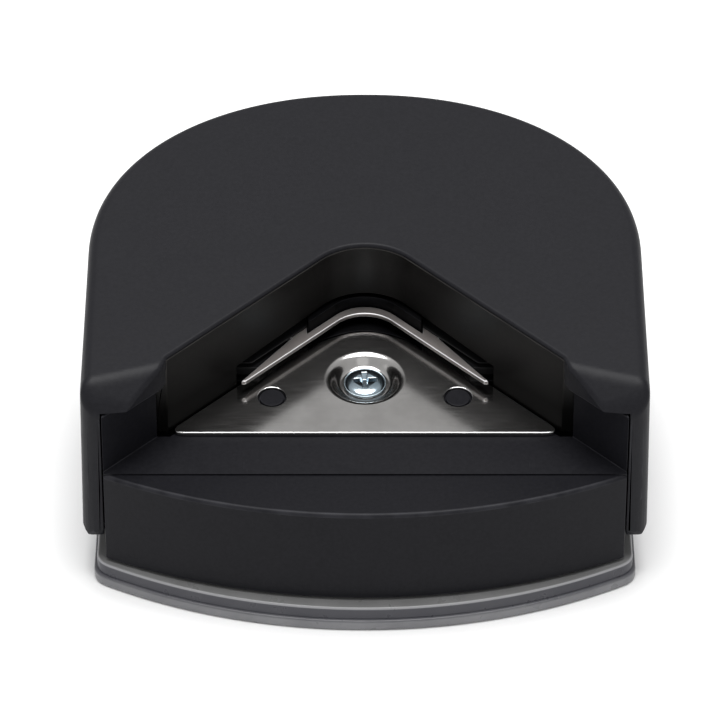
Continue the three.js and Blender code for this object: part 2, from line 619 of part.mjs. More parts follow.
// ---- tray ---------------------------------------------------------------------------------------
function chipTray() {
  const gap = 0.3;
  const rim = join(
    prism(trayOutline(0), 0, TRAY_STEP, LEVEL, 15),
    prism(trayOutline(TRAY_STEP_INSET), TRAY_STEP, TRAY_RIM_TOP, LEVEL, 15),
  );
  const bin = prism(baseOutline(BASE_WALL + gap), TRAY_FLOOR, TRAY_WALL_TOP, LEVEL, 15);
  const hollow = prism(baseOutline(BASE_WALL + gap + TRAY_WALL), TRAY_FLOOR, BIG, LEVEL, 15);
  return cut(join(rim, bin), hollow);
}

// ---- assembly -----------------------------------------------------------------------------------
function part(name, shape, material, place = {}) {
  const geometry = shape.isBufferGeometry ? shape : geometryOf(shape);
  const mesh = new THREE.Mesh(geometry, material.clone());
  mesh.name = name;
  if (place.at) mesh.position.set(...place.at);
  if (place.turn) mesh.rotation.set(...place.turn);
  return mesh;
}

const onDeck = (x, y, w) => [x, y - w * Math.sin(TILT), heightOn(DECK, y) + w * Math.cos(TILT)];

const base = new THREE.Group();
base.add(part("base_housing", baseHousing(), baseBlack));
base.add(part("table_plate", tablePlate(), satinSteel));
base.add(part("die_plate", diePlate(), hardSteel));
base.add(part("card_stop_left", cardStop(-1), guideBlack));
base.add(part("card_stop_right", cardStop(1), guideBlack));
base.add(part("stripper_plate", stripperPlate(), brightSteel));
base.add(part("punch_guide", punchGuide(), guideBlack));
const axle = new THREE.CylinderGeometry(PIVOT_RADIUS, PIVOT_RADIUS, 2 * AXLE_HALF_LENGTH, 32);
base.add(part("pivot_axle", axle, brightSteel, { at: [0, PIVOT_Y, PIVOT_Z], turn: [0, 0, Math.PI / 2] }));
const tableScrew = { at: onDeck(0, TABLE_SCREW_Y, TABLE_TOP - DIMPLE_DEPTH + SEAT), turn: [TILT, 0, 0] };
base.add(part("table_screw", panScrew(2.45, 0.75, 0.95, 3.2), brightSteel, tableScrew));
const springFoot = REAR_TOP - SPRING.pocket + SEAT;
const springLength = heightOn(LEVER_TOP, SPRING.y - SPRING.radius) - LEVER_PLATE - springFoot - 0.5;
for (const [side, word] of [[-1, "left"], [1, "right"]]) {
  const guideScrew = { at: onDeck(side * GUIDE_SCREW.x, GUIDE_SCREW.y, GUIDE_TOP + SEAT), turn: [TILT, 0, 0] };
  base.add(part("guide_screw_" + word, panScrew(2.2, 1.3, 0.95, 6.6), brightSteel, guideScrew));
  const seat = { at: [side * SPRING.x, SPRING.y, springFoot] };
  base.add(part("return_spring_" + word, springGeometry(springLength), springSteel, seat));
}

const lever = new THREE.Group();
lever.add(part("lever_cover", leverCover(), leverBlack));
lever.add(part("throat_liner", throatLiner(), linerBlack));
const pin = new THREE.CylinderGeometry(DRIVE_PIN.radius, DRIVE_PIN.radius, 2 * DRIVE_PIN.half, 20);
const pinPlace = { at: [0, DRIVE_PIN.y, DRIVE_PIN.z], turn: [0, 0, Math.PI / 2] };
lever.add(part("drive_pin", pin, brightSteel, pinPlace));
const stopHeadTop = CAVITY_TOP - 0.2;
const stopShank = panScrew(STOP_SCREW.head, STOP_SCREW.headHeight, STOP_SCREW.shaft - 0.05, 11.6);
const stopScrew = { at: [0, STOP_SCREW.y, stopHeadTop], turn: [Math.PI, 0, 0] };
lever.add(part("stop_screw", stopShank, brightSteel, stopScrew));
for (const [side, word] of [[-1, "left"], [1, "right"]]) {
  const below = [side * LINER_SCREW.x, LINER_SCREW.y, linerTabTop() - LINER_TAB - SEAT];
  const screw = panScrew(1.9, 1.1, 0.8, 3.2);
  lever.add(part("liner_screw_" + word, screw, brightSteel, { at: below, turn: [Math.PI, 0, 0] }));
}

const punch = new THREE.Group();
punch.add(part("punch_blade", punchBlade(), hardSteel));

const tray = new THREE.Group();
tray.add(part("chip_tray", chipTray(), smokedPlastic));

const cornerRounder = new THREE.Group();
cornerRounder.add(base, lever, punch, tray);

export default cornerRounder;
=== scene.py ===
import math

import bmesh
import bpy
from mathutils import Matrix, Vector


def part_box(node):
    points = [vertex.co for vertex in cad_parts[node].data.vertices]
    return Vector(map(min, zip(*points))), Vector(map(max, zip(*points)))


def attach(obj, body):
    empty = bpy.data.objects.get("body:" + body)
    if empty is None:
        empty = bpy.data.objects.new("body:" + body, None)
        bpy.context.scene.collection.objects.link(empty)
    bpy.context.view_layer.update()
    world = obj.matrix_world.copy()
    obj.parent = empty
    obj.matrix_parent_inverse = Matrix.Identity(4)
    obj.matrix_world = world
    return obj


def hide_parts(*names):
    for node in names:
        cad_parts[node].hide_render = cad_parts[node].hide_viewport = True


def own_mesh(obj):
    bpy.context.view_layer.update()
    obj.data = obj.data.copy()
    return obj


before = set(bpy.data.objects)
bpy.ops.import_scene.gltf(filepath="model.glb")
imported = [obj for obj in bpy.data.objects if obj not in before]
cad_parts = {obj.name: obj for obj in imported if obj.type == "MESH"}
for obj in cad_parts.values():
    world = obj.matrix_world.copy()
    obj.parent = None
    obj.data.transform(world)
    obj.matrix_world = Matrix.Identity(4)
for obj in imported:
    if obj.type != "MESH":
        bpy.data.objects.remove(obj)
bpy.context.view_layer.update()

MM = 0.001
BIG = 80.0

# ---- camera -----------------------------------------------------------------------------------
VIEW_ELEVATION = math.radians(36.5)
VIEW_DISTANCE = 0.600
VIEW_TARGET = Vector((-0.00057, 0.00061, 0.014))
VIEW_LENS = 255.0


def add_camera():
    data = bpy.data.cameras.new("camera")
    data.lens = VIEW_LENS
    data.sensor_width = 36.0
    data.clip_start = 0.01
    data.clip_end = 20.0
    camera = bpy.data.objects.new("camera", data)
    bpy.context.scene.collection.objects.link(camera)
    back = Vector((0.0, -math.cos(VIEW_ELEVATION), math.sin(VIEW_ELEVATION)))
    camera.location = VIEW_TARGET + back * VIEW_DISTANCE
    camera.rotation_euler = (-back).to_track_quat("-Z", "Y").to_euler()
    bpy.context.scene.camera = camera


add_camera()

# ---- sizes, in millimetres, as in the CAD -------------------------------------------------------
TILT = math.radians(5)
RISE = math.tan(TILT)
SEAT = 0.05
SHAFT_PLAY = 0.06  # between a shaft or pin and its hole
DIE_PLAY = 0.06  # between the punch and the die
SLOT_PLAY = 0.14  # between the punch and the stripper or its guide
V_TABLE = (5.85, 6.0)
V_STRIPPER = (3.75, 4.5)
V_LINER = (6.1, 7.0)
V_LEVER = (6.3, 7.2)
V_BASE = (6.9, 7.5)
CUT_RADIUS = 5.0
CARD_CORNER = 5.27


def box_mm(node):
    low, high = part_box(node)
    return low / MM, high / MM


BASE_LOW, BASE_HIGH = box_mm("base_housing")
LEVER_LOW, LEVER_HIGH = box_mm("lever_cover")
TRAY_LOW, TRAY_HIGH = box_mm("chip_tray")
TABLE_LOW = box_mm("table_plate")[0]
PUNCH_HIGH = box_mm("punch_blade")[1]
LINER_LOW = box_mm("throat_liner")[0]
AXLE_LOW, AXLE_HIGH = box_mm("pivot_axle")

BASE_HALF = BASE_HIGH.x
BASE_FRONT_RADIUS = 64.5
LEDGE_TOP = 15.3
DECK_FOOT = 15.5
DECK_START = -23.2
REAR_TOP = 15.2
GUIDE_WALL_BACK = -15.5
CAVITY_TOP = 12.4
FRONT_CAVITY_TOP = 7.4
FRONT_CAVITY_BACK = -14.6
BASE_WALL = 3.0
BACK_CENTRE = 3.2
BACK_FULLNESS = 2.12

LEVER_TOP_AT_ORIGIN = 28.42
LEVER_PLATE = 2.0
LEVER_WALL = 2.1
ARM_INNER = 29.97
FOLD_AT = (23.7, -18.0)
FOLD_INNER = 18.0
FOLD_SLANT = -0.32
FOLD_SOFTNESS = 0.9
FOLD_FALL = 0.83
FRONT_LIP_BOTTOM = 23.55
SKIRT_BOTTOM = 10.6
PIVOT_Y = (AXLE_LOW.y + AXLE_HIGH.y) / 2
PIVOT_Z = (AXLE_LOW.z + AXLE_HIGH.z) / 2
PIVOT_RADIUS = (AXLE_HIGH.z - AXLE_LOW.z) / 2
ARM_REACH = PIVOT_Y - LEVER_LOW.y
ARM_DROP = PIVOT_Z - LEVER_LOW.z
ARM_CORNER = 2.2
ARM_OUTER_CORNER = 2.2
PRESS = math.radians(4)

TABLE_FRONT = TABLE_LOW.y
TABLE_HALF = 21.9
SHEET = 0.5
TABLE_TOP = SEAT + SHEET
DIE_THICKNESS = 2.0
DIE_FRONT = -8.0
JOINT_HALF = 14.2  # half the width of the line where the table meets the die
TABLE_GAP = 0.2  # between the table's back edge and the die's front edge
STRIPPER_BOTTOM = TABLE_TOP + 1.1
STRIPPER_TOP = STRIPPER_BOTTOM + SHEET
GUIDE_BOTTOM = STRIPPER_TOP + SEAT
GUIDE_TOP = GUIDE_BOTTOM + 0.7
# thickness of a thin dark sheet that stands in for the shadow under the liner
GUIDE_SHADE_SHEET = 0.15
STACK_HALF = 17.5
STACK_BACK = 13.5
STACK_PLAY = 0.15  # between the die and its pocket in the base
STRIPPER_FRONT = -10.0
LEG_ROOT = -7.4
LEG_TIP = 0.5
LEG_TAPER_START = -2.4
LEG_WIDTH = 1.5
STOP_FRONT = -7.0
ISLAND_MARGIN = 2.0
PEG_X, PEG_Y, PEG_RADIUS, PEG_HOLE = 10.74, -10.75, 1.5, 1.65
TABLE_SCREW_Y = -7.46
DIMPLE_RADIUS = 4.3
DIMPLE_DEPTH = 1.1
PUNCH_HALF = PUNCH_HIGH.x
PUNCH_BOTTOM = STRIPPER_BOTTOM + 0.2
PUNCH_LOBE_TOP = 3.5
PUNCH_BACK = PUNCH_HIGH.y
LINER_WALL = 1.1
LINER_FRONT = LINER_LOW.y
LINER_STEP = -8.7
LINER_EDGE = 0.35
LINER_ROOF = 1.7
LINER_TOP_GAP = 0.42
LINER_SCREW = (20.0, -4.0)
LINER_TAB_TOP = LEVER_TOP_AT_ORIGIN + LINER_SCREW[1] * RISE - LEVER_PLATE - 0.6
GUIDE_SCREW = (12.6, 0.6)
GUIDE_SCREW_HOLE = 1.3
LINER_TAB = 1.2
LINER_TAB_RADIUS = 2.6
# Each screw's head radius, head height, shank radius and length.
TABLE_SCREW_SIZE = (2.45, 0.75, 0.95, 3.2)
GUIDE_SCREW_SIZE = (2.2, 1.3, 0.95, 6.6)
STOP_SCREW_SIZE = (2.7, 1.6, 1.45, 11.6)
LINER_SCREW_SIZE = (1.9, 1.1, 0.8, 3.2)
STOP_SCREW_Y = 19.5
TRAY_HALF = TRAY_HIGH.x
TRAY_FRONT_RADIUS = 60.0
TRAY_RIM_TOP = 3.0
TRAY_STEP = 1.35
TRAY_CORNER = 1.4
TRAY_STEP_INSET = 0.35
TRAY_FLOOR = 1.2
TRAY_WALL = 1.1

SHANK_HALF = 4.5
SHANK_FRONT = 7.2
PIN_Y, PIN_Z, PIN_RADIUS, PIN_HALF = 8.9, 25.4, 1.0, 8.3
RIB_INNER, RIB_OUTER, RIB_FRONT, RIB_BACK, RIB_BOTTOM = 6.7, 8.5, 6.6, 11.2, 24.15
SPRING_X, SPRING_Y, SPRING_RADIUS, SPRING_WIRE, SPRING_TURNS = 23.0, 11.0, 2.7, 0.38, 6
SPRING_POCKET = 1.2
POST_CLEARANCE = 1.2  # the pressed lever swings its posts back by 1 mm inside the springs
POST_RADIUS = SPRING_RADIUS - SPRING_WIRE - POST_CLEARANCE
LEVER_EDGE = 1.4
LEVER_SIDE = 24.0
THROAT_EDGE = 0.4
MOUTH = (-16.2, -18.0, 5.1)
LEVER_DRAFT = 0.28
LEVER_CORNER = 2.0
SCREW_TURN = 0.06

LEVEL = None
DECK = DECK_FOOT - DECK_START * RISE
LEVER_TOP = LEVER_TOP_AT_ORIGIN


def height_on(plane, y):
    return 0.0 if plane is None else plane + y * RISE


# ---- solids: closed meshes, joined and cut ------------------------------------------------------
def mesh_object(name, mesh):
    obj = bpy.data.objects.new(name, mesh)
    bpy.context.scene.collection.objects.link(obj)
    return obj


def solid_from(bm):
    bmesh.ops.recalc_face_normals(bm, faces=bm.faces)
    mesh = bpy.data.meshes.new("solid")
    bm.to_mesh(mesh)
    bm.free()
    return mesh_object("solid", mesh)


def skin_over(rings):
    """A skin over rings of equally many points, closed at the first ring and the last."""
    bm = bmesh.new()
    made = [[bm.verts.new(point) for point in ring] for ring in rings]
    bm.faces.new(list(reversed(made[0])))
    bm.faces.new(made[-1])
    for lower, upper in zip(made, made[1:]):
        for i in range(len(lower)):
            j = (i + 1) % len(lower)
            bm.faces.new((lower[i], lower[j], upper[j], upper[i]))
    return bm


def prism(outline, low, high, plane=LEVEL):
    """A vertical prism whose two ends follow plane: level, or rising towards the back."""
    ends = [[(x, y, level + height_on(plane, y)) for x, y in outline] for level in (low, high)]
    return solid_from(skin_over(ends))


def block(x0, x1, y0, y1, low, high, plane=LEVEL):
    return prism([(x0, y0), (x1, y0), (x1, y1), (x0, y1)], low, high, plane)


def side_prism(profile):
    """A prism along X from a profile of (y, z) points."""
    return solid_from(skin_over([[(x, y, z) for y, z in profile] for x in (-BIG, BIG)]))


def front_prism(profile):
    """A prism along Y from a profile of (x, z) points."""
    return solid_from(skin_over([[(x, y, z) for x, z in profile] for y in (BIG, -BIG)]))


def lathe(profile, matrix, segments=64):
    """A turned solid from (radius, height) points that start and end on the axis."""
    bm = bmesh.new()
    rings = []
    for radius, height in profile:
        if radius < 1e-6:
            rings.append([bm.verts.new((0, 0, height))])
            continue
        turn = [2 * math.pi * i / segments for i in range(segments)]
        rings.append([bm.verts.new((radius * math.cos(a), radius * math.sin(a), height)) for a in turn])
    for lower, upper in zip(rings, rings[1:]):
        for i in range(segments):
            j = (i + 1) % segments
            if len(lower) == 1:
                bm.faces.new((lower[0], upper[j], upper[i]))
            elif len(upper) == 1:
                bm.faces.new((lower[i], lower[j], upper[0]))
            else:
                bm.faces.new((lower[i], lower[j], upper[j], upper[i]))
    bmesh.ops.transform(bm, matrix=matrix, verts=bm.verts)
    return solid_from(bm)


def rod(radius, low, high, x, y, segments=48):
    profile = [(0, low), (radius, low), (radius, high), (0, high)]
    return lathe(profile, Matrix.Translation((x, y, 0)), segments)


def cross_rod(radius, half, y, z, segments=48):
    place = Matrix.Translation((0, y, z)) @ Matrix.Rotation(math.pi / 2, 4, "Y")
    return lathe([(0, -half), (radius, -half), (radius, half), (0, half)], place, segments)


def on_deck(x, y):
    """The frame that stands at right angles on the deck over (x, y)."""
    return Matrix.Translation((x, y, height_on(DECK, y))) @ Matrix.Rotation(TILT, 4, "X")


def deck_rod(radius, low, high, x, y, top_radius=None, segments=64):
    top = radius if top_radius is None else top_radius
    return lathe([(0, low), (radius, low), (top, high), (0, high)], on_deck(x, y), segments)


def boolean(obj, other, operation):
    modifier = obj.modifiers.new("boolean", "BOOLEAN")
    modifier.operation = operation
    modifier.solver = "MANIFOLD"
    modifier.object = other
    bake_modifiers(obj)
    old = other.data
    bpy.data.objects.remove(other)
    bpy.data.meshes.remove(old)
    return obj


def bake_modifiers(obj):
    graph = bpy.context.evaluated_depsgraph_get()
    graph.update()
    mesh = bpy.data.meshes.new_from_object(obj.evaluated_get(graph))
    old = obj.data
    obj.modifiers.clear()
    obj.data = mesh
    bpy.data.meshes.remove(old)


def join(obj, *others):
    for other in others:
        boolean(obj, other, "UNION")
    return obj


def cut(obj, *others):
    for other in others:
        boolean(obj, other, "DIFFERENCE")
    return obj


def common(obj, other):
    return boolean(obj, other, "INTERSECT")


def tidy(obj):
    """Merges what the booleans left: doubled corners and splits across flat faces."""
    bm = bmesh.new()
    bm.from_mesh(obj.data)
    bmesh.ops.remove_doubles(bm, verts=bm.verts, dist=0.006)
    bmesh.ops.dissolve_degenerate(bm, edges=bm.edges, dist=0.006)
    bmesh.ops.dissolve_limit(bm, angle_limit=math.radians(0.15), verts=bm.verts, edges=bm.edges)
    bm.to_mesh(obj.data)
    bm.free()
    return obj


def round_edges(obj, width, segments=3, angle=28.0, weight=None):
    """Rounds the sharp edges. weight(middle) scales the width of each edge, and 0 leaves it sharp."""
    bm = bmesh.new()
    bm.from_mesh(obj.data)
    layer = bm.edges.layers.float.new("bevel_weight_edge")
    for edge in bm.edges:
        if len(edge.link_faces) != 2 or edge.calc_face_angle(0.0) < math.radians(angle):
            continue
        middle = (edge.verts[0].co + edge.verts[1].co) / 2
        edge[layer] = 1.0 if weight is None else weight(middle)
    bm.to_mesh(obj.data)
    bm.free()
    bevel = obj.modifiers.new("bevel", "BEVEL")
    bevel.width = width
    bevel.segments = segments
    bevel.limit_method = "WEIGHT"
    bevel.miter_outer = "MITER_ARC"
    bevel.use_clamp_overlap = False
    bevel.material = 1
    obj.data.materials.clear()
    for _ in range(2):
        obj.data.materials.append(None)
    bake_modifiers(obj)
    mark_edges(obj.data)
    return obj


def mark_edges(mesh):
    """Writes the "edge" attribute, 1 on the faces that the rounding made, for wear and for brighter steel
    edges, which are partly a painted highlight.
    """
    values = [float(polygon.material_index == 1) for polygon in mesh.polygons]
    for polygon in mesh.polygons:
        polygon.material_index = 0
    attribute = mesh.attributes.new("edge", "FLOAT", "FACE")
    attribute.data.foreach_set("value", values)


def finish_piece(obj, name, body, nodes, material, sharp=32.0):
    """Scales a piece to metres, smooths its shading, and hands it to the frame."""
    obj.data.transform(Matrix.Scale(MM, 4))
    obj.name = name
    obj.data.name = name
    for polygon in obj.data.polygons:
        polygon.use_smooth = True
    obj.data.set_sharp_from_angle(angle=math.radians(sharp))
    normals = obj.modifiers.new("normals", "WEIGHTED_NORMAL")
    normals.keep_sharp = True
    normals.weight = 60
    bake_modifiers(obj)
    obj.data.materials.clear()
    obj.data.materials.append(material)
    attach(obj, body)
    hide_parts(*nodes)
    return obj


# ---- outlines -----------------------------------------------------------------------------------
def arc(cx, cy, radius, start, end, count):
    steps = [start + (end - start) * i / count for i in range(count + 1)]
    return [(cx + radius * math.cos(a), cy + radius * math.sin(a)) for a in steps]


def back_curve(half, depth, count=140):
    """The rounded back, slightly fuller than an ellipse, from right to left."""
    power = 2 / BACK_FULLNESS
    points = []
    for i in range(count + 1):
        angle = math.pi * i / count
        across = math.copysign(abs(math.cos(angle)) ** power, math.cos(angle))
        points.append((half * across, BACK_CENTRE + depth * abs(math.sin(angle)) ** power))
    return points


def body_outline(half, front, front_radius, back, corner=0.0):
    """Bowed front, straight sides, rounded back; the front corners may be eased."""
    swing = math.asin((half - corner) / front_radius)
    bow = arc(0, front + front_radius, front_radius, -math.pi / 2 - swing, -math.pi / 2 + swing, 64)
    if corner:
        meet = front + front_radius - math.sqrt(front_radius ** 2 - half ** 2)
        right = bend(bow[-1], (half, meet), (half, meet + corner))
        bow = [(-x, y) for x, y in reversed(right)] + bow + right
    return bow + back_curve(half, back - BACK_CENTRE)


def base_outline(inset):
    front_radius = BASE_FRONT_RADIUS - inset
    return body_outline(BASE_HALF - inset, BASE_LOW.y + inset, front_radius, BASE_HIGH.y - inset)


def tray_outline(inset):
    front_radius = TRAY_FRONT_RADIUS - inset
    return body_outline(TRAY_HALF - inset, TRAY_LOW.y + inset, front_radius, TRAY_HIGH.y - inset, TRAY_CORNER)


def notch(v, leg_y):
    """Both legs of a V edge and its filleted tip, from left to right."""
    reach, fillet = v
    tip = arc(0, reach - fillet * math.sqrt(2), fillet, 0.75 * math.pi, 0.25 * math.pi, 32)
    return [(-(reach - leg_y), leg_y)] + tip + [(reach - leg_y, leg_y)]


def wider(v, by):
    return (v[0] + by * math.sqrt(2), v[1] + by)


def opening_of(v):
    return notch(v, -BIG)


def v_band(inner, outer, low, high, plane, front, back):
    band = prism(opening_of(outer), low, high, plane)
    cut(band, prism(opening_of(inner), low - 1, high + 1, plane))
    return common(band, block(-BIG, BIG, front, back, low - 1, high + 1, plane))


def stack_outline(v, front, margin=0.0):
    half = STACK_HALF + margin
    back = STACK_BACK + margin
    return [(half, front), (half, back), (-half, back), (-half, front)] + notch(v, front)


def punch_outline(clearance):
    half = PUNCH_HALF + clearance
    v = (CARD_CORNER - clearance * math.sqrt(2), CUT_RADIUS - clearance)
    back = PUNCH_BACK + clearance
    return [(half, back), (-half, back)] + notch(v, v[0] - half)


def bend(p0, p1, p2, count=10):
    """Points of a quadratic curve after its first one."""
    points = []
    for i in range(1, count + 1):
        t = i / count
        first, middle, last = (1 - t) ** 2, 2 * t * (1 - t), t * t
        points.append(tuple(first * a + middle * b + last * c for a, b, c in zip(p0, p1, p2)))
    return points


def die_front(shift):
    """The joint between table and die, from left to right."""
    y0, y1, y2 = DIE_FRONT - shift, -2.7 - shift, 0.8 - shift
    left = [(-JOINT_HALF, y0), (-8.0, y1)] + bend((-8.0, y1), (-3.0, y2), (0.0, y2))
    return left + bend((0.0, y2), (3.0, y2), (8.0, y1)) + [(JOINT_HALF, y0)]


# ---- materials: everything is procedural ----------------------------------------------------------
class Look:
    """A Principled material with the few node helpers that the looks below share."""

    def __init__(self, name, roughness, metallic=0.0):
        self.material = bpy.data.materials.new(name)
        self.material.use_nodes = True
        self.tree = self.material.node_tree
        self.tree.nodes.clear()
        self.shader = self.add("ShaderNodeBsdfPrincipled")
        self.shader.inputs["Roughness"].default_value = roughness
        self.shader.inputs["Metallic"].default_value = metallic
        output = self.add("ShaderNodeOutputMaterial")
        self.link(self.shader.outputs["BSDF"], output.inputs["Surface"])
        self.where = self.add("ShaderNodeTexCoord").outputs["Object"]

    def add(self, kind):
        return self.tree.nodes.new(kind)

    def link(self, source, target):
        self.tree.links.new(source, target)

    def noise(self, size_mm, stretch=(1, 1, 1), detail=2.0, roughness=0.5):
        mapping = self.add("ShaderNodeMapping")
        mapping.inputs["Scale"].default_value = [1000 / size_mm * s for s in stretch]
        self.link(self.where, mapping.inputs["Vector"])
        texture = self.add("ShaderNodeTexNoise")
        texture.inputs["Scale"].default_value = 1.0
        texture.inputs["Detail"].default_value = detail
        texture.inputs["Roughness"].default_value = roughness
        self.link(mapping.outputs["Vector"], texture.inputs["Vector"])
        return texture.outputs["Fac"]

    def spread(self, value, low, high, out_low=0.0, out_high=1.0):
        node = self.add("ShaderNodeMapRange")
        node.inputs["From Min"].default_value = low
        node.inputs["From Max"].default_value = high
        node.inputs["To Min"].default_value = out_low
        node.inputs["To Max"].default_value = out_high
        self.link(value, node.inputs["Value"])
        return node.outputs["Result"]

    def times(self, a, b):
        node = self.add("ShaderNodeMath")
        node.operation = "MULTIPLY"
        self.link(a, node.inputs[0])
        if isinstance(b, float):
            node.inputs[1].default_value = b
        else:
            self.link(b, node.inputs[1])
        return node.outputs["Value"]

    def blend(self, factor, a, b):
        node = self.add("ShaderNodeMix")
        node.data_type = "RGBA"
        self.link(factor, node.inputs["Factor"])
        for socket, colour in zip(node.inputs[6:8], (a, b)):
            if isinstance(colour, tuple):
                socket.default_value = (*colour, 1.0)
            else:
                self.link(colour, socket)
        return node.outputs[2]

    def level(self):
        """Height over the table the object stands on, in metres."""
        node = self.add("ShaderNodeSeparateXYZ")
        self.link(self.where, node.inputs["Vector"])
        return node.outputs["Z"]

    def worn(self):
        """1 on the rounded edges of a piece, 0 elsewhere: wear on plastic, and on steel partly a painted
        highlight.
        """
        node = self.add("ShaderNodeAttribute")
        node.attribute_name = "edge"
        return node.outputs["Fac"]

    def bump(self, *layers):
        normal = None
        for height, distance_mm, strength in layers:
            node = self.add("ShaderNodeBump")
            node.inputs["Distance"].default_value = distance_mm * MM
            node.inputs["Strength"].default_value = strength
            self.link(height, node.inputs["Height"])
            if normal is not None:
                self.link(normal, node.inputs["Normal"])
            normal = node.outputs["Normal"]
        self.link(normal, self.shader.inputs["Normal"])

    def colour(self, value):
        self.link(value, self.shader.inputs["Base Color"])

    def rough(self, value):
        self.link(value, self.shader.inputs["Roughness"])


def plastic_look(
    name, dark, light, worn, roughness, gloss, grain_mm, grain_depth, grain_strength, scuffs=0.0, shade=None,
):
    """Moulded plastic: spark grain, colour drift, lighter rubbed edges, fine scuffs, and, where asked,
    painted shade that darkens the colour and the gloss towards the foot.
    """
    look = Look(name, roughness)
    look.shader.inputs["Specular IOR Level"].default_value = gloss
    drift = look.spread(look.noise(0.45, detail=6.0), 0.30, 0.70)
    colour = look.blend(drift, dark, light)
    rub = look.times(look.worn(), look.spread(look.noise(2.5, detail=4.0), 0.25, 0.60))
    colour = look.blend(rub, colour, worn)
    patch = look.noise(3.0, detail=4.0)
    rough = look.spread(patch, 0.3, 0.7, roughness - 0.02, roughness + 0.03)
    layers = [(look.noise(grain_mm, detail=2.0), grain_depth, grain_strength)]
    if scuffs:
        along = look.noise(0.09, stretch=(1.0, 0.035, 0.05), detail=2.0)
        across = look.noise(0.11, stretch=(0.04, 1.0, 0.3), detail=2.0)
        marks = look.times(look.spread(along, 0.66, 0.74), look.spread(look.noise(2.6), 0.5, 0.66))
        more = look.times(look.spread(across, 0.67, 0.74), look.spread(look.noise(3.1), 0.52, 0.66))
        colour = look.blend(look.times(marks, scuffs), colour, worn)
        colour = look.blend(look.times(more, scuffs), colour, worn)
        layers.append((marks, 0.004, 0.35))
    # painted shade: below shade[1] mm the colour falls to a third of dark and the specular drops, as if the
    # lower wall lay in shadow
    if shade:
        level = look.level()
        low, high = shade[0] * MM, shade[1] * MM
        colour = look.blend(look.spread(level, low, high), tuple(0.3 * c for c in dark), colour)
        shaded_gloss = look.spread(level, low, high, 0.35 * gloss, 1.15 * gloss)
        look.link(shaded_gloss, look.shader.inputs["Specular IOR Level"])
    look.colour(colour)
    look.rough(rough)
    look.bump(*layers)
    return look


def steel_look(name, dark, light, roughness, lines, strength=0.12, specks=0.0, bare_edge_and_glint=0.4):
    """Worked steel: fine directional lines, cloudy tarnish, and brighter cut edges, partly bare metal and
    partly a painted highlight.
    """
    look = Look(name, roughness, metallic=1.0)
    cloud = look.spread(look.noise(4.0, detail=4.0), 0.35, 0.65)
    colour = look.blend(cloud, dark, light)
    # painted highlight, in part: the rounded edges blend towards near-white metal, so they glint
    colour = look.blend(look.times(look.worn(), bare_edge_and_glint), colour, (0.93, 0.93, 0.94))
    if specks:
        dots = look.spread(look.noise(0.35, detail=3.0), 0.70, 0.76)
        colour = look.blend(look.times(dots, specks), colour, (0.20, 0.19, 0.18))
    streak = look.noise(0.06, stretch=lines, detail=3.0)
    look.colour(colour)
    look.rough(look.spread(streak, 0.25, 0.75, roughness - 0.05, roughness + 0.06))
    look.bump((streak, 0.003, strength), (look.noise(1.6, detail=3.0), 0.02, 0.10))
    return look


def make_looks():
    looks = {
        "lever_plastic": plastic_look(
            "textured_black", (0.0085, 0.0085, 0.0108), (0.0115, 0.0115, 0.0142), (0.024, 0.024, 0.028),
            0.46, 0.15, 0.20, 0.030, 0.34,
        ),
        # the liner's lower wall gets painted shade
        "liner_plastic": plastic_look(
            "satin_black", (0.0062, 0.0057, 0.0055), (0.0090, 0.0083, 0.0080), (0.04, 0.038, 0.036),
            0.34, 0.20, 0.50, 0.010, 0.16, scuffs=0.30, shade=(19.5, 25.5),
        ),
        "base_plastic": plastic_look(
            "moulded_black", (0.0066, 0.0066, 0.0086), (0.0096, 0.0096, 0.0120), (0.022, 0.022, 0.026),
            0.42, 0.11, 0.26, 0.012, 0.22, scuffs=0.30,
        ),
        "guide_plastic": plastic_look(
            "guide_black", (0.0060, 0.0060, 0.0065), (0.0090, 0.0090, 0.0095), (0.02, 0.02, 0.02),
            0.45, 0.10, 0.30, 0.012, 0.25,
        ),
        "table_steel": steel_look(
            "satin_steel", (0.47, 0.46, 0.45), (0.55, 0.54, 0.53), 0.15, (0.02, 1.0, 1.0),
        ),
        # the stripper's cut edges get the strongest painted highlight
        "stripper_steel": steel_look(
            "plated_steel", (0.30, 0.275, 0.265), (0.38, 0.35, 0.335), 0.42, (1.0, 0.6, 1.0),
            strength=0.06, bare_edge_and_glint=0.7,
        ),
        # painted shade: this steel is near black, far darker than bare steel, so the punch, die and pivot
        # axle read as the shadow around them
        "tool_steel": steel_look(
            "shade_darkened_steel", (0.006, 0.006, 0.007), (0.012, 0.012, 0.013), 0.45, (0.03, 1.0, 1.0),
            bare_edge_and_glint=0.0,
        ),
        "screw_steel": steel_look(
            "bright_zinc", (0.23, 0.32, 0.38), (0.38, 0.45, 0.50), 0.17, (1.0, 1.0, 0.1), specks=0.6,
        ),
        "spring_steel": steel_look(
            "drawn_wire", (0.52, 0.52, 0.50), (0.64, 0.64, 0.62), 0.26, (0.3, 0.3, 1.0),
        ),
    }
    return {slot: look.material for slot, look in looks.items()} | {"tray_plastic": tray_look()}


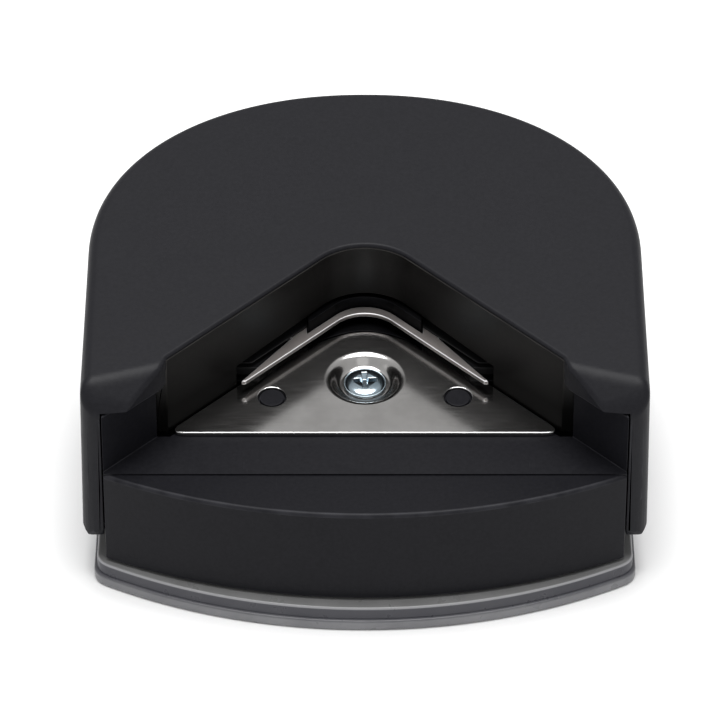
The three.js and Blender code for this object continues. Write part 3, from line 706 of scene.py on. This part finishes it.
def tray_look():
    """Smoked plastic, opaque here: bands by height stand for the light that its lip and rim let through."""
    look = Look("smoked_translucent", 0.30)
    drift = look.spread(look.noise(5.0, detail=3.0), 0.35, 0.65)
    body = look.blend(drift, (0.034, 0.034, 0.044), (0.044, 0.044, 0.054))
    lip = look.blend(drift, (0.17, 0.17, 0.18), (0.21, 0.21, 0.22))
    shelf = look.blend(drift, (0.17, 0.17, 0.17), (0.21, 0.21, 0.21))
    level = look.level()
    low = look.spread(level, (TRAY_STEP - 0.3) * MM, (TRAY_STEP + 0.1) * MM)
    shoulder = look.spread(level, (TRAY_RIM_TOP - 0.30) * MM, (TRAY_RIM_TOP - 0.16) * MM)
    top = look.spread(level, (TRAY_RIM_TOP - 0.06) * MM, (TRAY_RIM_TOP - 0.01) * MM)
    side = look.blend(shoulder, look.blend(low, lip, body), (0.30, 0.30, 0.31))
    look.colour(look.blend(top, side, shelf))
    look.rough(look.spread(look.noise(2.0, detail=3.0), 0.3, 0.7, 0.26, 0.36))
    look.bump((look.noise(0.12, detail=1.0), 0.004, 0.05))
    return look.material


LOOKS = make_looks()


# ---- base ---------------------------------------------------------------------------------------
def base_housing():
    body = prism(base_outline(0), BASE_LOW.z, BASE_HIGH.z)
    cut(body, block(-BIG, BIG, -BIG, DECK_START, LEDGE_TOP, BIG))
    cut(body, cut(prism(opening_of(V_BASE), 0, BIG, DECK), block(-BIG, BIG, -BIG, DECK_START, -BIG, BIG)))
    island = prism(stack_outline(V_BASE, STRIPPER_FRONT, ISLAND_MARGIN), -BIG, BIG)
    under_lever = block(-BIG, BIG, GUIDE_WALL_BACK, BIG, REAR_TOP, BIG)
    cut(under_lever, prism(opening_of(V_BASE), -BIG, BIG), island)
    cut(body, under_lever)
    over_island = prism(stack_outline(V_BASE, STRIPPER_FRONT, ISLAND_MARGIN), 0, BIG, DECK)
    cut(body, over_island)
    groove = v_band(
        wider(V_TABLE, -0.3), wider(V_LINER, LINER_WALL + 1.4), -1.4, BIG, DECK,
        LINER_FRONT - 0.4, LINER_STEP + 0.6,
    )
    cut(body, groove)
    half, back, front = STACK_HALF + STACK_PLAY, STACK_BACK + STACK_PLAY, DIE_FRONT - TABLE_GAP
    pocket = [(half, front), (half, back), (-half, back), (-half, front)] + die_front(STACK_PLAY)
    cut(body, prism(pocket, TABLE_TOP - DIE_THICKNESS - SEAT, BIG, DECK))
    cavity = prism(base_outline(BASE_WALL), 0, CAVITY_TOP)
    cut(cavity, block(-BIG, BIG, -BIG, FRONT_CAVITY_BACK, FRONT_CAVITY_TOP, BIG))
    cut(body, cavity, prism(punch_outline(0.7), 0, BIG))
    cut(body, cross_rod(PIVOT_RADIUS + SHAFT_PLAY, BIG, PIVOT_Y, PIVOT_Z))
    cut(body, rod(2.3, 0, BIG, 0, STOP_SCREW_Y))
    cut(body, deck_rod(DIMPLE_RADIUS + 0.4, -DIMPLE_DEPTH - 0.3, 1, 0, TABLE_SCREW_Y))
    cut(body, deck_rod(1.0, -4.2, 1, 0, TABLE_SCREW_Y))
    for side in (-1, 1):
        join(body, deck_rod(PEG_RADIUS, -0.5, TABLE_TOP - 0.1, side * PEG_X, PEG_Y, PEG_RADIUS - 0.12))
        cut(body, deck_rod(1.0, -4.6, 1, side * GUIDE_SCREW[0], GUIDE_SCREW[1]))
        cut(body, rod(SPRING_RADIUS + 0.5, REAR_TOP - SPRING_POCKET, BIG, side * SPRING_X, SPRING_Y))
    tidy(body)
    return round_edges(body, 0.45, 4, weight=base_edge)


def base_edge(middle):
    """The front face's top edge is the softest, and the pegs and the hidden pockets stay nearly sharp."""
    if abs(middle.y - DECK_START) < 0.05 and middle.z < DECK_FOOT + 0.05:
        return 0.0
    if middle.y < DECK_START and middle.z > LEDGE_TOP - 0.5:
        return 1.0
    if middle.z > BASE_HIGH.z - 2.0:
        return 0.4
    if middle.z < BASE_LOW.z + 0.1:
        return 0.5
    return 0.15


# ---- steel stack ----------------------------------------------------------------------------------
def table_plate():
    corner = 1.5
    side = TABLE_HALF
    edge_y = V_TABLE[0] - side + 0.35
    outline = [(-side + corner, TABLE_FRONT), (side - corner, TABLE_FRONT)]
    outline += bend((side - corner, TABLE_FRONT), (side + 0.6, TABLE_FRONT), (side - 0.35, edge_y))
    outline += [(JOINT_HALF, V_TABLE[0] - JOINT_HALF)] + list(reversed(die_front(TABLE_GAP)))
    outline += [(-JOINT_HALF, V_TABLE[0] - JOINT_HALF), (-side + 0.35, edge_y)]
    outline += bend((-side + 0.35, edge_y), (-side - 0.6, TABLE_FRONT), (-side + corner, TABLE_FRONT))[:-1]
    plate = prism(outline, SEAT, TABLE_TOP, DECK)
    bowl = lathe(dimple(SHEET), on_deck(0, TABLE_SCREW_Y), 96)
    join(plate, bowl)
    cut(plate, lathe(dimple(0.0), on_deck(0, TABLE_SCREW_Y), 96), deck_rod(1.4, -3, 3, 0, TABLE_SCREW_Y))
    for sign in (-1, 1):
        cut(plate, deck_rod(PEG_HOLE, -1, 2, sign * PEG_X, PEG_Y))
    tidy(plate)
    return round_edges(plate, 0.10, 3, angle=30.0)


def dimple(thickness):
    """Pressed bowl under the screw, with a soft shoulder, a smooth cone and a flat seat: the solid of the
    sheet at its thickness, or the hollow at 0."""
    top = TABLE_TOP + (-0.01 if thickness else 0.02)
    side = thickness * 0.5
    points = [(0.0, TABLE_TOP - DIMPLE_DEPTH - thickness)]
    radii = [2.75, 3.05, 3.3, 3.6, 3.85, 4.05, 4.25, 4.5, 4.8]
    drops = [1.0, 0.94, 0.78, 0.52, 0.31, 0.18, 0.09, 0.03, 0.0]
    for radius, drop in zip(radii, drops):
        height = TABLE_TOP - DIMPLE_DEPTH * drop - thickness
        points.append((radius + side, min(height, SEAT) if thickness else height))
    return points + [(radii[-1] + side, top), (0.0, top)]


def die_plate():
    back = [(STACK_HALF, STACK_BACK), (-STACK_HALF, STACK_BACK)]
    outline = [(STACK_HALF, DIE_FRONT)] + back + [(-STACK_HALF, DIE_FRONT)]
    plate = prism(outline + die_front(0.0), TABLE_TOP - DIE_THICKNESS, TABLE_TOP, DECK)
    cut(plate, prism(punch_outline(DIE_PLAY), -BIG, BIG))
    for side in (-1, 1):
        cut(plate, deck_rod(GUIDE_SCREW_HOLE, -3, 3, side * GUIDE_SCREW[0], GUIDE_SCREW[1]))
    tidy(plate)
    return round_edges(plate, 0.06, 2, angle=30.0)


def card_stop(side):
    inner = PUNCH_HALF + 0.4
    outline = [
        (side * inner, CARD_CORNER - inner),
        (side * (CARD_CORNER - STOP_FRONT), STOP_FRONT),
        (side * STACK_HALF, STOP_FRONT),
        (side * STACK_HALF, STACK_BACK),
        (side * inner, STACK_BACK),
    ]
    stop = prism(outline, TABLE_TOP + SEAT, STRIPPER_BOTTOM - SEAT, DECK)
    cut(stop, deck_rod(GUIDE_SCREW_HOLE, -3, 3, side * GUIDE_SCREW[0], GUIDE_SCREW[1]))
    tidy(stop)
    return round_edges(stop, 0.08, 2, angle=30.0)


def stripper_plate():
    plate = prism(stack_outline(V_STRIPPER, LEG_ROOT), STRIPPER_BOTTOM, STRIPPER_TOP, DECK)
    outer = wider(V_STRIPPER, LEG_WIDTH)
    legs = v_band(V_STRIPPER, outer, STRIPPER_BOTTOM, STRIPPER_TOP, DECK, STRIPPER_FRONT, LEG_ROOT + 0.1)
    join(plate, legs)
    cut(plate, prism(punch_outline(SLOT_PLAY), -BIG, BIG))
    for side in (-1, 1):
        cut(plate, deck_rod(GUIDE_SCREW_HOLE, -3, 6, side * GUIDE_SCREW[0], GUIDE_SCREW[1]))
        cut(plate, prism([(side * x, y) for x, y in leg_trim()], -BIG, BIG))
    tidy(plate)
    return round_edges(plate, 0.10, 3, angle=30.0)


def leg_trim():
    """A wedge beside the V edge, which narrows the right leg towards its front end."""
    tip = V_STRIPPER[0] - STRIPPER_FRONT + LEG_TIP
    hidden = V_LINER[0] + 3.0
    return [
        (tip, STRIPPER_FRONT - 1),
        (hidden - STRIPPER_FRONT + 1, STRIPPER_FRONT - 1),
        (hidden - LEG_TAPER_START, LEG_TAPER_START),
        (V_LINER[0] - LEG_TAPER_START, LEG_TAPER_START),
        (tip, STRIPPER_FRONT),
    ]


def punch_guide():
    guide = prism(stack_outline(wider(V_LINER, LINER_WALL + 1.0), STOP_FRONT), GUIDE_BOTTOM, GUIDE_TOP, DECK)
    # painted shade: a thin dark sheet reaches forward under the liner, so the gap above the stripper reads as
    # shadow
    join(guide, prism(stack_outline(V_LINER, STOP_FRONT), GUIDE_BOTTOM, GUIDE_BOTTOM + GUIDE_SHADE_SHEET, DECK))
    cut(guide, prism(punch_outline(SLOT_PLAY), 0, BIG))
    for side in (-1, 1):
        cut(guide, deck_rod(GUIDE_SCREW_HOLE, -3, 6, side * GUIDE_SCREW[0], GUIDE_SCREW[1]))
    tidy(guide)
    return round_edges(guide, 0.05, 2, angle=30.0)


def punch_blade():
    blade = prism(punch_outline(0.0), PUNCH_BOTTOM, PUNCH_LOBE_TOP, DECK)
    foot = height_on(DECK, SHANK_FRONT) + 3
    join(blade, block(-SHANK_HALF, SHANK_HALF, SHANK_FRONT, PUNCH_BACK, foot, PUNCH_HIGH.z))
    low = PIN_Z - PIN_RADIUS - SHAFT_PLAY
    high = PIN_Z + PIN_RADIUS + SHAFT_PLAY
    cut(blade, block(-BIG, BIG, PIN_Y - 1.3, PUNCH_BACK + 1, low, high))
    tidy(blade)
    return round_edges(blade, 0.08, 2, angle=30.0)


# ---- lever ----------------------------------------------------------------------------------------
def lever_shell_outline(inset):
    """Plan of the lever before the V is cut: straight front with rounded corners, rounded back."""
    half = LEVER_HIGH.x - inset
    front = LEVER_LOW.y + inset
    corner = LEVER_CORNER
    points = arc(-half + corner, front + corner, corner, math.pi, 1.5 * math.pi, 8)
    points += arc(half - corner, front + corner, corner, -0.5 * math.pi, 0, 8)
    return points + back_curve(half, LEVER_HIGH.y - BACK_CENTRE - inset)


def throat_outline(widening):
    """Plan of the lever's opening: a V edge whose mouth narrows a little in front of the liner."""
    slope = widening * math.sqrt(2)
    back, front, reach = MOUTH
    left = [(-BIG, -BIG), (-(reach + slope - front), front)]
    right = [(-x, y) for x, y in reversed(left)]
    return left + notch(wider(V_LEVER, widening), back) + right


def lever_skin(outline, rings):
    """Closed stack of outlines at heights under the lever's top, which follows the soft fold in front."""
    levels = [[(x, y, level + height_on(LEVER_TOP, y)) for x, y in outline(inset)] for inset, level in rings]
    bm = skin_over(levels)
    slices = [(Vector((0, LEVER_LOW.y + 0.25 * i, 0)), Vector((0, 1, 0))) for i in range(1, 32)]
    for side in (-1, 1):
        slices += [(Vector((side * (FOLD_INNER + 1.5 * i), 0, 0)), Vector((1, 0, 0))) for i in range(10)]
    for point, normal in slices:
        everything = bm.verts[:] + bm.edges[:] + bm.faces[:]
        bmesh.ops.bisect_plane(bm, geom=everything, dist=1e-5, plane_co=point, plane_no=normal)
    for vert in bm.verts:
        if vert.co.z > height_on(LEVER_TOP, vert.co.y) - LEVER_SIDE / 2:
            vert.co.z -= fold_drop(abs(vert.co.x), vert.co.y)
    bmesh.ops.triangulate(bm, faces=bm.faces)
    return solid_from(bm)


def lever_shell():
    rings = [(0.0, -LEVER_SIDE)]
    for i in range(9):
        angle = math.pi / 2 * i / 8
        rings.append((LEVER_DRAFT + LEVER_EDGE * (1 - math.cos(angle)), LEVER_EDGE * (math.sin(angle) - 1)))
    return lever_skin(lever_shell_outline, rings)


def throat_cutter():
    """Cuts the V opening and leaves its upper edge rounded."""
    rings = [(0.0, -2 * LEVER_SIDE)]
    for i in range(6):
        angle = math.pi / 2 * i / 5
        rings.append((THROAT_EDGE * (1 - math.cos(angle)), THROAT_EDGE * (math.sin(angle) - 1)))
    rings.append((THROAT_EDGE, 8.0))
    return lever_skin(throat_outline, rings)


def fold_drop(x, y):
    """How far the top lies under its plane in front of the fold, which blends in over a soft band."""
    ahead = FOLD_AT[1] + FOLD_SLANT * (max(x, FOLD_INNER) - FOLD_AT[0]) - y
    if ahead <= -FOLD_SOFTNESS:
        return 0.0
    if ahead < FOLD_SOFTNESS:
        ahead = (ahead + FOLD_SOFTNESS) ** 2 / (4 * FOLD_SOFTNESS)
    return FOLD_FALL * ahead


def lever_side_profile():
    """Side view under the top: an arm with rounded lower corners, and a lower edge that rises to the back."""
    rear = LEVER_HIGH.y + 5
    heel, toe = PIVOT_Y + ARM_REACH, PIVOT_Y - ARM_REACH
    sole = PIVOT_Z - ARM_DROP + ARM_CORNER
    points = [(heel, SKIRT_BOTTOM), (rear, SKIRT_BOTTOM + (rear - heel) * RISE), (rear, BIG), (toe - 1, BIG)]
    points += [(toe - 1, sole), (toe, sole)]
    points += arc(toe + ARM_CORNER, sole, ARM_CORNER, math.pi, 1.5 * math.pi, 16)[1:]
    points += arc(heel - ARM_CORNER, sole, ARM_CORNER, 1.5 * math.pi, 2 * math.pi, 16)
    return points


def lever_front_profile():
    """Front view under the top: the arms' outer lower corners are rounded."""
    half, low, corner = LEVER_HIGH.x + 1, LEVER_LOW.z, ARM_OUTER_CORNER
    left = arc(-LEVER_HIGH.x + corner, low + corner, corner, math.pi, 1.5 * math.pi, 10)
    right = arc(LEVER_HIGH.x - corner, low + corner, corner, 1.5 * math.pi, 2 * math.pi, 10)
    above = low + corner + 1
    return left + right + [(half, above), (half, BIG), (-half, BIG), (-half, above)]


def lever_cover():
    body = lever_shell()
    common(body, side_prism(lever_side_profile()))
    common(body, front_prism(lever_front_profile()))
    cut(body, throat_cutter())
    front = LEVER_LOW.y + LEVER_WALL
    inside = [(ARM_INNER, front)]
    inside += back_curve(ARM_INNER, LEVER_HIGH.y - BACK_CENTRE - LEVER_WALL)
    inside += [(-ARM_INNER, front)] + notch(wider(V_LEVER, 1.6), front)
    cut(body, prism(inside, -BIG, -LEVER_PLATE, LEVER_TOP))
    channel = v_band(
        wider(V_LEVER, -2), wider(V_LEVER, 1.7), -BIG, -LINER_ROOF, LEVER_TOP, LINER_FRONT - 0.1, BIG,
    )
    cut(body, channel, block(-ARM_INNER, ARM_INNER, -BIG, 0, -BIG, FRONT_LIP_BOTTOM))
    join(body, rod(3.2, 19.0, lever_roof(STOP_SCREW_Y), 0, STOP_SCREW_Y))
    cut(body, rod(1.5, 0, 24.2, 0, STOP_SCREW_Y))
    cut(body, cross_rod(PIVOT_RADIUS + SHAFT_PLAY, AXLE_HIGH.x + 0.1, PIVOT_Y, PIVOT_Z))
    for sign in (-1, 1):
        middle = sign * (RIB_INNER + RIB_OUTER) / 2
        half = (RIB_OUTER - RIB_INNER) / 2
        rib = block(middle - half, middle + half, RIB_FRONT, RIB_BACK, RIB_BOTTOM, lever_roof(RIB_FRONT))
        join(body, rib)
        join(body, rod(POST_RADIUS, 24.5, lever_roof(SPRING_Y), sign * SPRING_X, SPRING_Y))
        screw_x, screw_y = sign * LINER_SCREW[0], LINER_SCREW[1]
        join(body, rod(LINER_TAB_RADIUS, LINER_TAB_TOP + SEAT, lever_roof(screw_y), screw_x, screw_y))
        cut(body, rod(0.85, 0, LINER_TAB_TOP + 2.4, screw_x, screw_y))
    cut(body, cross_rod(PIN_RADIUS + 0.02, PIN_HALF + 0.1, PIN_Y, PIN_Z))
    tidy(body)
    return round_edges(body, 0.25, 3, angle=30.0, weight=lever_edge)


def lever_roof(y):
    return LEVER_TOP + y * RISE - LEVER_PLATE + 0.5


def lever_edge(middle):
    """The arms' lower ends are soft, and the ribs and bosses inside keep a small radius."""
    top = height_on(LEVER_TOP, middle.y) - fold_drop(abs(middle.x), middle.y)
    if middle.z > top - LEVER_EDGE - 0.2:
        return 0.0
    if abs(middle.x) > ARM_INNER - 0.2 and middle.z < PIVOT_Z + 8:
        return 1.0
    return 0.6


def throat_liner():
    wall = v_band(V_LINER, wider(V_LINER, LINER_WALL), -20, -LINER_ROOF - SEAT, LEVER_TOP, LINER_FRONT, BIG)

    def edge(y):
        return height_on(DECK, y) + STRIPPER_TOP + 0.3 + math.sin(PRESS) * (y - PIVOT_Y)

    shallow = [(LINER_STEP, -BIG), (BIG, -BIG), (BIG, edge(BIG)), (LINER_STEP, edge(LINER_STEP))]
    cut(wall, side_prism(shallow), block(-BIG, BIG, -BIG, BIG, -BIG, LINER_EDGE, DECK))
    beside_lever = (V_LEVER[0] - 0.02, V_LEVER[1] - 0.01)
    join(wall, v_band(V_LINER, beside_lever, -3, -LINER_TOP_GAP, LEVER_TOP, LINER_FRONT, BIG))
    for side in (-1, 1):
        tab = arc(*LINER_SCREW, LINER_TAB_RADIUS, -0.25 * math.pi, 0.75 * math.pi, 24)
        tab += [(V_LINER[0] + 0.8 + 5.9, -5.9), (V_LINER[0] + 0.8 + 9.6, -9.6)]
        tab = [(side * x, y) for x, y in tab]
        join(wall, prism(tab, LINER_TAB_TOP - LINER_TAB, LINER_TAB_TOP))
        cut(wall, rod(1.1, 0, BIG, side * LINER_SCREW[0], LINER_SCREW[1]))
    tidy(wall)
    return round_edges(wall, 0.10, 3, angle=28.0)


# ---- fasteners, pins and springs ----------------------------------------------------------------
def pan_screw(head_radius, head_height, shank_radius, length, place):
    """Cross-recessed pan head standing on the frame's z = 0, with a threaded shank pointing down."""
    pitch = shank_radius * 0.5
    profile = [(0, -length), (shank_radius * 0.45, -length)]
    z = -length + shank_radius * 0.6
    while z < -pitch * 1.6:
        profile += [(shank_radius * 0.78, z), (shank_radius, z + pitch * 0.5)]
        z += pitch
    profile += [(shank_radius * 0.78, min(z, -0.05)), (shank_radius * 0.78, 0)]
    profile += [(head_radius - 0.06, 0), (head_radius, 0.06), (head_radius, head_height * 0.42)]
    for i in range(1, 9):
        t = i / 8 * math.radians(78)
        radius = head_radius * (0.42 + 0.58 * math.cos(t))
        profile.append((radius, head_height * (0.42 + 0.58 * math.sin(t) / math.sin(math.radians(78)))))
    profile.append((0, head_height))
    head = lathe(profile, Matrix.Identity(4), 72)
    for turn in (0, 90):
        cut(head, recess_arm(head_radius, head_height, turn))
    tidy(head)
    round_edges(head, 0.035, 2, angle=35.0)
    head.data.transform(place)
    return head


def recess_arm(head_radius, head_height, turn):
    """One bar of the cross recess, narrowing as it goes down."""
    floor, top = head_height * 0.10, head_height + 0.2
    reach, wide = head_radius * 0.62, head_radius * 0.15
    rings = []
    for long, across, z in ((reach * 0.55, wide * 0.6, floor), (reach, wide, top)):
        rings.append([(-long, -across, z), (long, -across, z), (long, across, z), (-long, across, z)])
    bm = skin_over(rings)
    bmesh.ops.rotate(bm, verts=bm.verts, matrix=Matrix.Rotation(math.radians(turn), 3, "Z"))
    return solid_from(bm)


def pin(half, radius, y, z):
    soft = 0.15
    place = Matrix.Translation((0, y, z)) @ Matrix.Rotation(math.pi / 2, 4, "Y")
    profile = [(0, -half), (radius - soft, -half), (radius, -half + soft)]
    profile += [(radius, half - soft), (radius - soft, half), (0, half)]
    return lathe(profile, place, 64)


def coil_spring(x, y, low, length):
    """Compression spring with closed end coils."""
    steps = SPRING_TURNS * 40
    sides = 12
    centres = []
    for i in range(steps + 1):
        t = i / steps
        angle = 2 * math.pi * SPRING_TURNS * t
        rise = t + math.sin(2 * math.pi * t - math.pi) / (2 * math.pi) * 0.55
        height = low + SPRING_WIRE + (length - 2 * SPRING_WIRE) * rise
        out = Vector((math.cos(angle), math.sin(angle), 0)) * SPRING_RADIUS
        centres.append(Vector((x, y, height)) + out)
    rings = []
    for i, centre in enumerate(centres):
        ahead = centres[min(i + 1, steps)] - centres[max(i - 1, 0)]
        out = Vector((centre.x - x, centre.y - y, 0)).normalized()
        up = ahead.cross(out).normalized()
        ring = []
        for k in range(sides):
            a = 2 * math.pi * k / sides
            ring.append(centre + (out * math.cos(a) + up * math.sin(a)) * SPRING_WIRE)
        rings.append(ring)
    return solid_from(skin_over(rings))


# ---- tray -----------------------------------------------------------------------------------------
def ring_solid(outline, rings):
    """Closed stack of outlines of one kind: (inset, height) from bottom to top."""
    return solid_from(skin_over([[(x, y, height) for x, y in outline(inset)] for inset, height in rings]))


def rounded(inset, height, radius, start, count=4):
    """A quarter round in the (inset, height) plane that ends or starts a vertical face."""
    points = []
    for i in range(count + 1):
        angle = start + math.pi / 2 * i / count
        points.append((inset + radius * (1 - math.cos(angle)), height + radius * math.sin(angle)))
    return points


def chip_tray():
    """Rim with a small step along its outside, and the bin wall that snaps into the base."""
    profile = rounded(0.0, 0.35, 0.35, -math.pi / 2)
    profile += rounded(0.0, TRAY_STEP - 0.22, 0.22, 0.0)
    profile += [(TRAY_STEP_INSET, TRAY_STEP + 0.04)]
    profile += rounded(TRAY_STEP_INSET, TRAY_RIM_TOP - 0.28, 0.28, 0.0)
    tray = ring_solid(tray_outline, profile)
    lip = BASE_WALL + 0.3
    bin_wall = [(lip, TRAY_FLOOR)] + rounded(lip, TRAY_HIGH.z - 0.15, 0.15, 0.0)
    join(tray, ring_solid(base_outline, bin_wall))
    hollow = rounded(lip + TRAY_WALL, TRAY_FLOOR + 0.5, 0.5, -math.pi / 2) + [(lip + TRAY_WALL, BIG)]
    cut(tray, ring_solid(base_outline, hollow))
    return tidy(tray)


# ---- assembly -------------------------------------------------------------------------------------
def place_piece(obj, body, slot, node, sharp=32.0):
    finish_piece(obj, node + "_shape", body, [node], LOOKS[slot], sharp)
    return obj


def build_base():
    place_piece(base_housing(), "base", "base_plastic", "base_housing")
    place_piece(table_plate(), "base", "table_steel", "table_plate")
    place_piece(die_plate(), "base", "tool_steel", "die_plate")
    place_piece(card_stop(-1), "base", "guide_plastic", "card_stop_left")
    place_piece(card_stop(1), "base", "guide_plastic", "card_stop_right")
    place_piece(stripper_plate(), "base", "stripper_steel", "stripper_plate")
    place_piece(punch_guide(), "base", "guide_plastic", "punch_guide")
    place_piece(pin(AXLE_HIGH.x, PIVOT_RADIUS, PIVOT_Y, PIVOT_Z), "base", "tool_steel", "pivot_axle")
    seat = Matrix.Translation((0, 0, TABLE_TOP - DIMPLE_DEPTH + SEAT))
    place = on_deck(0, TABLE_SCREW_Y) @ seat @ Matrix.Rotation(SCREW_TURN, 4, "Z")
    screw = pan_screw(*TABLE_SCREW_SIZE, place)
    place_piece(screw, "base", "screw_steel", "table_screw")
    foot = REAR_TOP - SPRING_POCKET + SEAT
    length = LEVER_TOP + (SPRING_Y - SPRING_RADIUS) * RISE - LEVER_PLATE - foot - 0.5
    for side, word in ((-1, "left"), (1, "right")):
        top = Matrix.Translation((0, 0, GUIDE_TOP + SEAT))
        place = on_deck(side * GUIDE_SCREW[0], GUIDE_SCREW[1]) @ top @ Matrix.Rotation(0.4 * side, 4, "Z")
        place_piece(pan_screw(*GUIDE_SCREW_SIZE, place), "base", "screw_steel", "guide_screw_" + word)
        spring = coil_spring(side * SPRING_X, SPRING_Y, foot, length)
        place_piece(spring, "base", "spring_steel", "return_spring_" + word, 180.0)
        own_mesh(spring)


def build_lever():
    place_piece(lever_cover(), "lever", "lever_plastic", "lever_cover")
    place_piece(throat_liner(), "lever", "liner_plastic", "throat_liner")
    place_piece(pin(PIN_HALF, PIN_RADIUS, PIN_Y, PIN_Z), "lever", "screw_steel", "drive_pin")
    over = Matrix.Rotation(math.pi, 4, "X")
    place = Matrix.Translation((0, STOP_SCREW_Y, CAVITY_TOP - 0.2)) @ over
    place_piece(pan_screw(*STOP_SCREW_SIZE, place), "lever", "screw_steel", "stop_screw")
    for side, word in ((-1, "left"), (1, "right")):
        under = (side * LINER_SCREW[0], LINER_SCREW[1], LINER_TAB_TOP - LINER_TAB - SEAT)
        place = Matrix.Translation(under) @ over @ Matrix.Rotation(0.9 * side, 4, "Z")
        place_piece(pan_screw(*LINER_SCREW_SIZE, place), "lever", "screw_steel", "liner_screw_" + word)


def add_lamp(name, place, size, energy):
    lamp = bpy.data.lights.new(name, "AREA")
    lamp.shape = "DISK"
    lamp.size = size
    lamp.energy = energy
    light = bpy.data.objects.new(name, lamp)
    bpy.context.scene.collection.objects.link(light)
    light.location = place
    light.rotation_euler = (-light.location).to_track_quat("-Z", "Y").to_euler()


def build_surroundings():
    """Pale floor and a white, evenly lit room with one soft lamp overhead."""
    bm = bmesh.new()
    bmesh.ops.create_grid(bm, x_segments=1, y_segments=1, size=4.0)
    mesh = bpy.data.meshes.new("floor")
    bm.to_mesh(mesh)
    bm.free()
    floor = mesh_object("floor", mesh)
    look = Look("pale_floor", 0.9)
    look.colour(look.blend(look.noise(300.0), (0.90, 0.90, 0.90), (0.92, 0.92, 0.92)))
    mesh.materials.append(look.material)
    scene = bpy.context.scene
    world = bpy.data.worlds.new("studio")
    world.use_nodes = True
    background = world.node_tree.nodes["Background"]
    background.inputs["Color"].default_value = (1.0, 1.0, 1.0, 1.0)
    background.inputs["Strength"].default_value = 0.55
    scene.world = world
    add_lamp("overhead", (0.0, 0.05, 0.9), 0.6, 8.5)
    add_lamp("left_card", (-0.7, -0.15, 0.30), 0.5, 0.15)
    add_lamp("front_card", (0.10, -0.65, 0.75), 0.5, 0.2)
    scene.view_settings.view_transform = "Standard"


build_base()
build_lever()
place_piece(punch_blade(), "punch", "tool_steel", "punch_blade")
place_piece(chip_tray(), "tray", "tray_plastic", "chip_tray")
build_surroundings()
